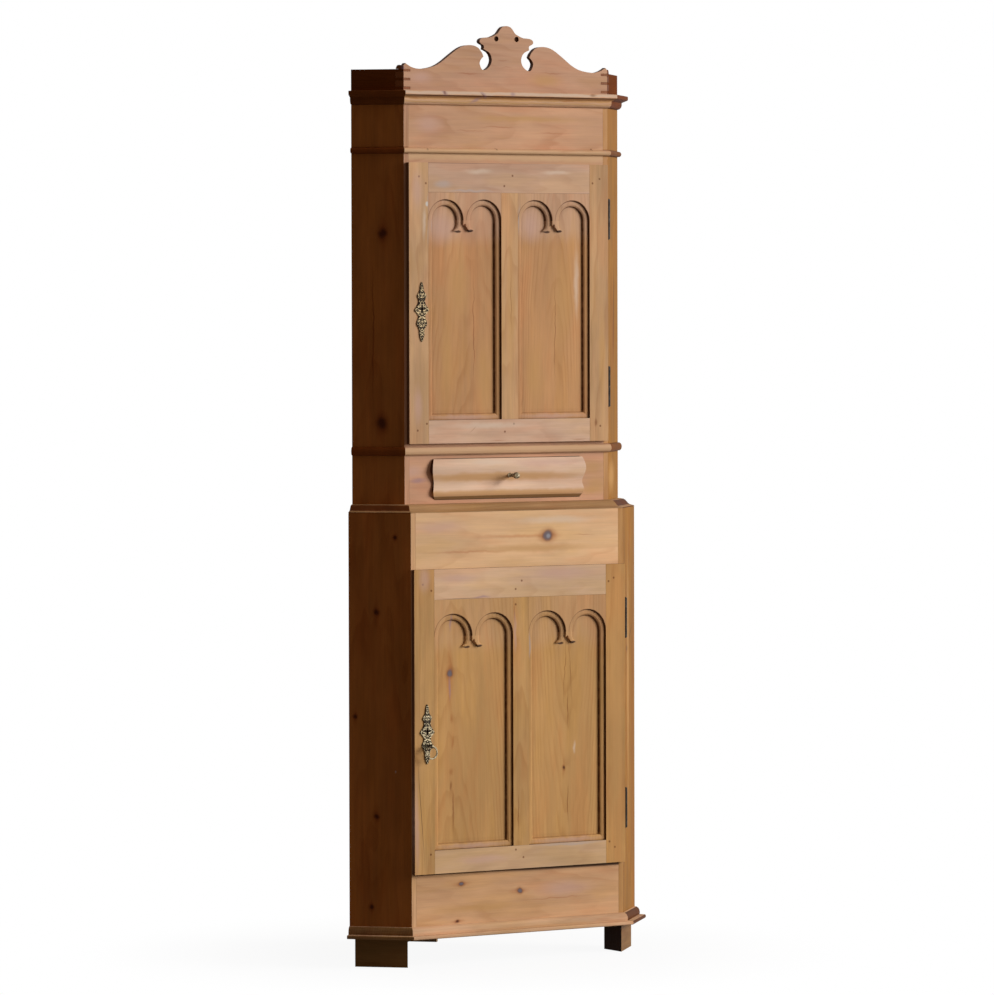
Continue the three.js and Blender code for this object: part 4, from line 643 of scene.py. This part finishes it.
def dress_fronts():
    board("frieze_board", srgb(196, 151, 117), 41, [
        *level_pegs((-0.2067, 1.7462), (-0.0303, 1.7484), (0.2187, 1.7509)),
        ("slate", 0.2512, 1.785, 0.0019, 0.06), ("streak", -0.02, 1.797, 0.08, 0.0022),
        ("streak", -0.09, 1.788, 0.06, 0.0018, 0.02), ("streak", 0.12, 1.785, 0.07, 0.002),
        ("gold", 0.05, 1.815, 0.2, 0.01), ("pink", -0.2, 1.8, 0.05, 0.03),
        ("butter", 0.0, 1.7365, 0.9, 0.016)],
        axes=LEVEL, pith=(1.79, 0.07), slope=0.04, wobble=0.012, spacing=0.006, contrast=0.26, mottle=0.08)
    board("drawer_surround", srgb(198, 151, 119), 42, [
        ("violet", -0.228, 1.0385, 0.03, 0.009), ("pink", -0.24, 1.06, 0.04, 0.02),
        ("gold", 0.22, 1.06, 0.05, 0.025), ("gold", 0.232, 1.02, 0.05, 0.03),
        ("gold", 0.0, 0.985, 0.24, 0.006), ("slate", 0.2512, 1.04, 0.0019, 0.045),
        ("gold", 0.215, 1.01, 0.04, 0.012), ("butter", 0.0, 1.101, 0.9, 0.012),
        ("streak", -0.1, 1.091, 0.05, 0.0016), ("streak", 0.1, 1.093, 0.06, 0.0016)],
        axes=LEVEL, pith=(0.95, 0.3), slope=0.02, contrast=0.16, mottle=0.09)
    # On the drawer front the amber bands are painted shade on the hollows that face down, the band at its
    # bottom is painted shade on its underside, and its dark narrow sides are painted shade.
    board("drawer_front", srgb(214, 181, 154), 43, [
        ("amber_shade", -0.03, 1.0445, 0.3, 0.0135), ("amber_shade", -0.02, 1.0085, 0.6, 0.011),
        ("pink", 0.1, 1.073, 0.14, 0.012), ("pale", -0.05, 1.076, 0.08, 0.009),
        ("underside_shade", 0.0, 0.9955, 0.6, 0.0095)],
        axes=LEVEL, pith=(1.0, 0.3), slope=0.02, contrast=0.12, mottle=0.08, walls=srgb(70, 34, 14))
    # The cresting's narrow sides are darkened as painted shade.
    board("cresting_board", srgb(186, 144, 115), 44, [
        ("violet", -0.263, 1.9185, 0.006, 0.01), ("pink", -0.22, 1.9, 0.04, 0.02),
        ("streak", -0.1, 1.91, 0.05, 0.003), ("gold", 0.1, 1.9, 0.06, 0.02),
        ("streak", -0.01, 1.94, 0.02, 0.002), ("streak", 0.0, 1.925, 0.02, 0.0016),
        ("streak", 0.12, 1.915, 0.05, 0.0022)],
        axes=LEVEL, pith=(1.85, 0.22), slope=0.04, contrast=0.18, mottle=0.09, walls=srgb(96, 58, 34),
        bevel=(UPPER_HALF, UPPER_FRONT, EDGE_LEFT, EDGE_RIGHT))
    board("lower_rail_top", srgb(217, 176, 133), 45, [
        ("streak", 0.0, 0.9165, 0.16, 0.006), ("streak", -0.12, 0.8856, 0.15, 0.004),
        *knot(0.077, 0.9158, 0.0125, 0.045), ("heart", 0.0765, 0.916, 0.0125, 0.012),
        ("slate", 0.0785, 0.915, 0.0075, 0.007), ("streak", 0.17, 0.9155, 0.04, 0.0016),
        ("pink", -0.2, 0.94, 0.1, 0.02), ("gold", 0.05, 0.89, 0.25, 0.012),
        ("pale", 0.1, 0.95, 0.14, 0.012)],
        axes=LEVEL, pith=(0.9, 0.2), slope=0.03, contrast=0.18, mottle=0.08)
    board("lower_rail_bottom", srgb(202, 157, 116), 46, [
        *knot(-0.1465, 0.1736, 0.0055), *knot(0.0027, 0.1509, 0.006), *knot(-0.1569, 0.0943, 0.004),
        ("heart", 0.0027, 0.1509, 0.0065, 0.0055), ("heart", -0.1465, 0.1736, 0.006, 0.0045),
        # Painted shadow of the gap under the lower door, wider to the right.
        ("gap_shadow", 0.0, 0.1985, 0.9, 0.0034), ("gap_shadow", 0.2, 0.1965, 0.36, 0.0058),
        ("streak", 0.1, 0.13, 0.12, 0.002), ("pink", 0.12, 0.15, 0.1, 0.025),
        ("gold", -0.1, 0.12, 0.14, 0.014)],
        axes=LEVEL, pith=(0.1, 0.2), slope=0.04, contrast=0.18, mottle=0.09)
    board("base_moulding", srgb(204, 164, 128), 61, axes=LEVEL, pith=(0.0, 0.3), contrast=0.2, shine=0.05,
          edge=(LOWER_HALF, LOWER_FRONT, srgb(135, 99, 61), srgb(82, 44, 14)))
    board("lower_top_board", srgb(170, 131, 91), 62, axes=LEVEL, pith=(0.9, 0.3), contrast=0.2, shine=0.05,
          edge=(LOWER_HALF, LOWER_FRONT, srgb(104, 56, 25), srgb(79, 40, 12)))
    board("cornice_top_board", srgb(200, 162, 130), 63, [
        # On the cornice the cream band is painted highlight on the nose, the line under it painted shadow,
        # and the amber band painted shade that fades into the cove's orange.
        ("cream_highlight", 0.0, 1.8672, 0.9, 0.004), ("amber_shade", 0.0, 1.8565, 0.9, 0.0055),
        ("gold", 0.0, 1.8485, 0.9, 0.003), ("line", 0.0, 1.861, 0.6, 0.0022),
        ("violet", -0.1735, 1.868, 0.014, 0.008, -0.6), ("dark", -0.172, 1.867, 0.006, 0.006, -0.6),
        ("violet", -0.0718, 1.8646, 0.018, 0.006, -0.6), ("dark", -0.075, 1.864, 0.01, 0.003, -0.6),
        ("violet", 0.0007, 1.8658, 0.01, 0.007), ("dark", 0.2081, 1.8685, 0.012, 0.006),
        ("violet", -0.0864, 1.8525, 0.02, 0.007, 0.5), ("streak", -0.24, 1.856, 0.02, 0.003),
        ("streak", 0.15, 1.855, 0.03, 0.003)],
        axes=LEVEL, pith=(1.8, 0.3), contrast=0.2, shine=0.04,
        edge=(UPPER_HALF, UPPER_FRONT, EDGE_LEFT, EDGE_RIGHT))


# Side boards

# Across a side board's face, from its front edge to the wall
ACROSS_LEFT, ACROSS_RIGHT = (-H, H, 0), (H, H, 0)
# The side lengths of the frieze and waist beads, which are one with the upper side boards
SIDE_BEADS = [("bead", 1.7441, 0.0, 0.008, 9.0), ("bead", 1.102, 0.0, 0.0105, 9.0)]


def side_board(name, colour, front, seed, across, marks):
    board(name, colour, seed, marks, axes=(Z, across), pith=(0.12, 0.2), spacing=0.007, front=front,
          shine=0.05)


def dress_sides():
    # The feet's faces that look left are darkened as painted shade.
    for side, sign, across, colour, foot, foot_left_shade in (
            ("left", -1, ACROSS_LEFT, EDGE_LEFT, srgb(126, 93, 52), srgb(66, 36, 17)),
            ("right", 1, ACROSS_RIGHT, EDGE_RIGHT, srgb(131, 98, 63), srgb(50, 28, 12))):
        board("gallery_" + side, colour, 47 + sign, axes=(across, Z), pith=(1.9, 0.3), front=PIN,
              shine=0.01)
        board("foot_" + side, foot, 55 + sign, axes=(across, Z), pith=(0.0, 0.3), left_face=foot_left_shade,
              shine=0.03)
    side_board("upper_return_left", SIDE_LEFT, srgb(190, 146, 116), 51, ACROSS_LEFT, [
        *SIDE_BEADS, *knot(1.5673, 0.1086, 0.011, 0.05), *knot(1.1616, 0.1114, 0.013, 0.06),
        ("dark", 1.35, 0.13, 0.2, 0.003)])
    side_board("lower_return_left", SIDE_LEFT, srgb(202, 160, 120), 52, ACROSS_LEFT, [
        *knot(0.7587, 0.1161, 0.007, 0.04), *knot(0.5366, 0.1633, 0.006, 0.03),
        *knot(0.3234, 0.1175, 0.007, 0.04), *knot(0.1292, 0.1284, 0.006, 0.03),
        *knot(0.9194, 0.0754, 0.005, 0.02), ("grey", 0.4202, 0.0745, 0.004, 0.003)])
    side_board("upper_return_right", SIDE_RIGHT, srgb(184, 138, 94), 53, ACROSS_RIGHT, [
        *SIDE_BEADS, ("crack", 1.079, 0.1108, 0.013, 0.0022), ("dark", 1.4, 0.13, 0.14, 0.012),
        ("gold", 1.04, 0.1, 0.05, 0.05), ("dark", 1.42, 0.1, 0.1, 0.004)])
    side_board("lower_return_right", SIDE_RIGHT, srgb(190, 142, 90), 54, ACROSS_RIGHT, [
        ("crack", 0.694, 0.127, 0.03, 0.004, 1.0), *knot(0.6619, 0.0897, 0.007, 0.03),
        ("streak", 0.55, 0.15, 0.4, 0.012), ("gold", 0.6, 0.1, 0.4, 0.02),
        ("streak", 0.4, 0.09, 0.2, 0.006)])


# Boards inside and at the back, which were never waxed

UNWAXED = 0.75


def dress_inside():
    for side, seed, across in (("left", 71, (H, H, 0)), ("right", 73, (H, -H, 0))):
        for i, stage in enumerate(("lower", "upper")):
            board(stage + "_back_" + side, INSIDE, seed + i, axes=(Z, across), pith=(0.1, 0.4),
                  spacing=0.008, rough=UNWAXED)
    for i, name in enumerate(("lower_floor_board", "lower_shelf", "drawer_board", "upper_floor_board",
                              "upper_shelf", "drawer_bottom")):
        board(name, INSIDE, 75 + i, axes=FLAT, pith=(0.05 * i - 0.1, 0.3), spacing=0.008, rough=UNWAXED)
    for i, name in enumerate(("drawer_side_left", "drawer_side_right")):
        board(name, INSIDE, 83 + i, axes=(Y, Z), pith=(1.0, 0.3), rough=UNWAXED)
    board("drawer_back", INSIDE, 85, axes=LEVEL, pith=(1.0, 0.3), rough=UNWAXED)


# Metal

# The plates' narrow sides are darkened as painted shade, in the second colour.
HOLLOW, PLATE_EDGE_SHADE = (0.02, 0.013, 0.008), (0.02, 0.01, 0.005)
SCROLL_SIZE = 0.019
# Middle across, middle up and keyhole's height of each lock plate, and its colour where it is rubbed
LOCK_PLATES = {
    "upper_door_lock_plate": (-0.225, 1.4, 1.4066, (0.25, 0.185, 0.1)),
    "lower_door_lock_plate": (-0.24, 0.5, 0.5065, (0.35, 0.285, 0.175)),
}


def dress_metal():
    for name, (middle, level, key, bright) in LOCK_PLATES.items():
        dress([name], metal(name, bright, HOLLOW, scale=150, rough=0.4, spread=0.3, lift=0.0012,
                            scrolls=(middle, level, SCROLL_SIZE, key), edges=PLATE_EDGE_SHADE))
    dress(["ring_pull", "drawer_knob"], metal(
        "ring_brass", (0.5, 0.42, 0.27), (0.07, 0.045, 0.025), scale=160, rough=0.28, spread=0.3, seed=3.0))
    fittings = [name for name in NODES if "_hinge_low_" in name or "_hinge_high_" in name
                or name.endswith(("lock_case", "lock_bolt"))]
    dress(fittings, metal(
        "iron", (0.03, 0.025, 0.021), (0.012, 0.01, 0.008), scale=90, rough=0.5, spread=0.2, seed=5.0))


add_camera()
add_light()
add_floor()
dress_doors()
dress_fronts()
dress_sides()
dress_inside()
dress_metal()
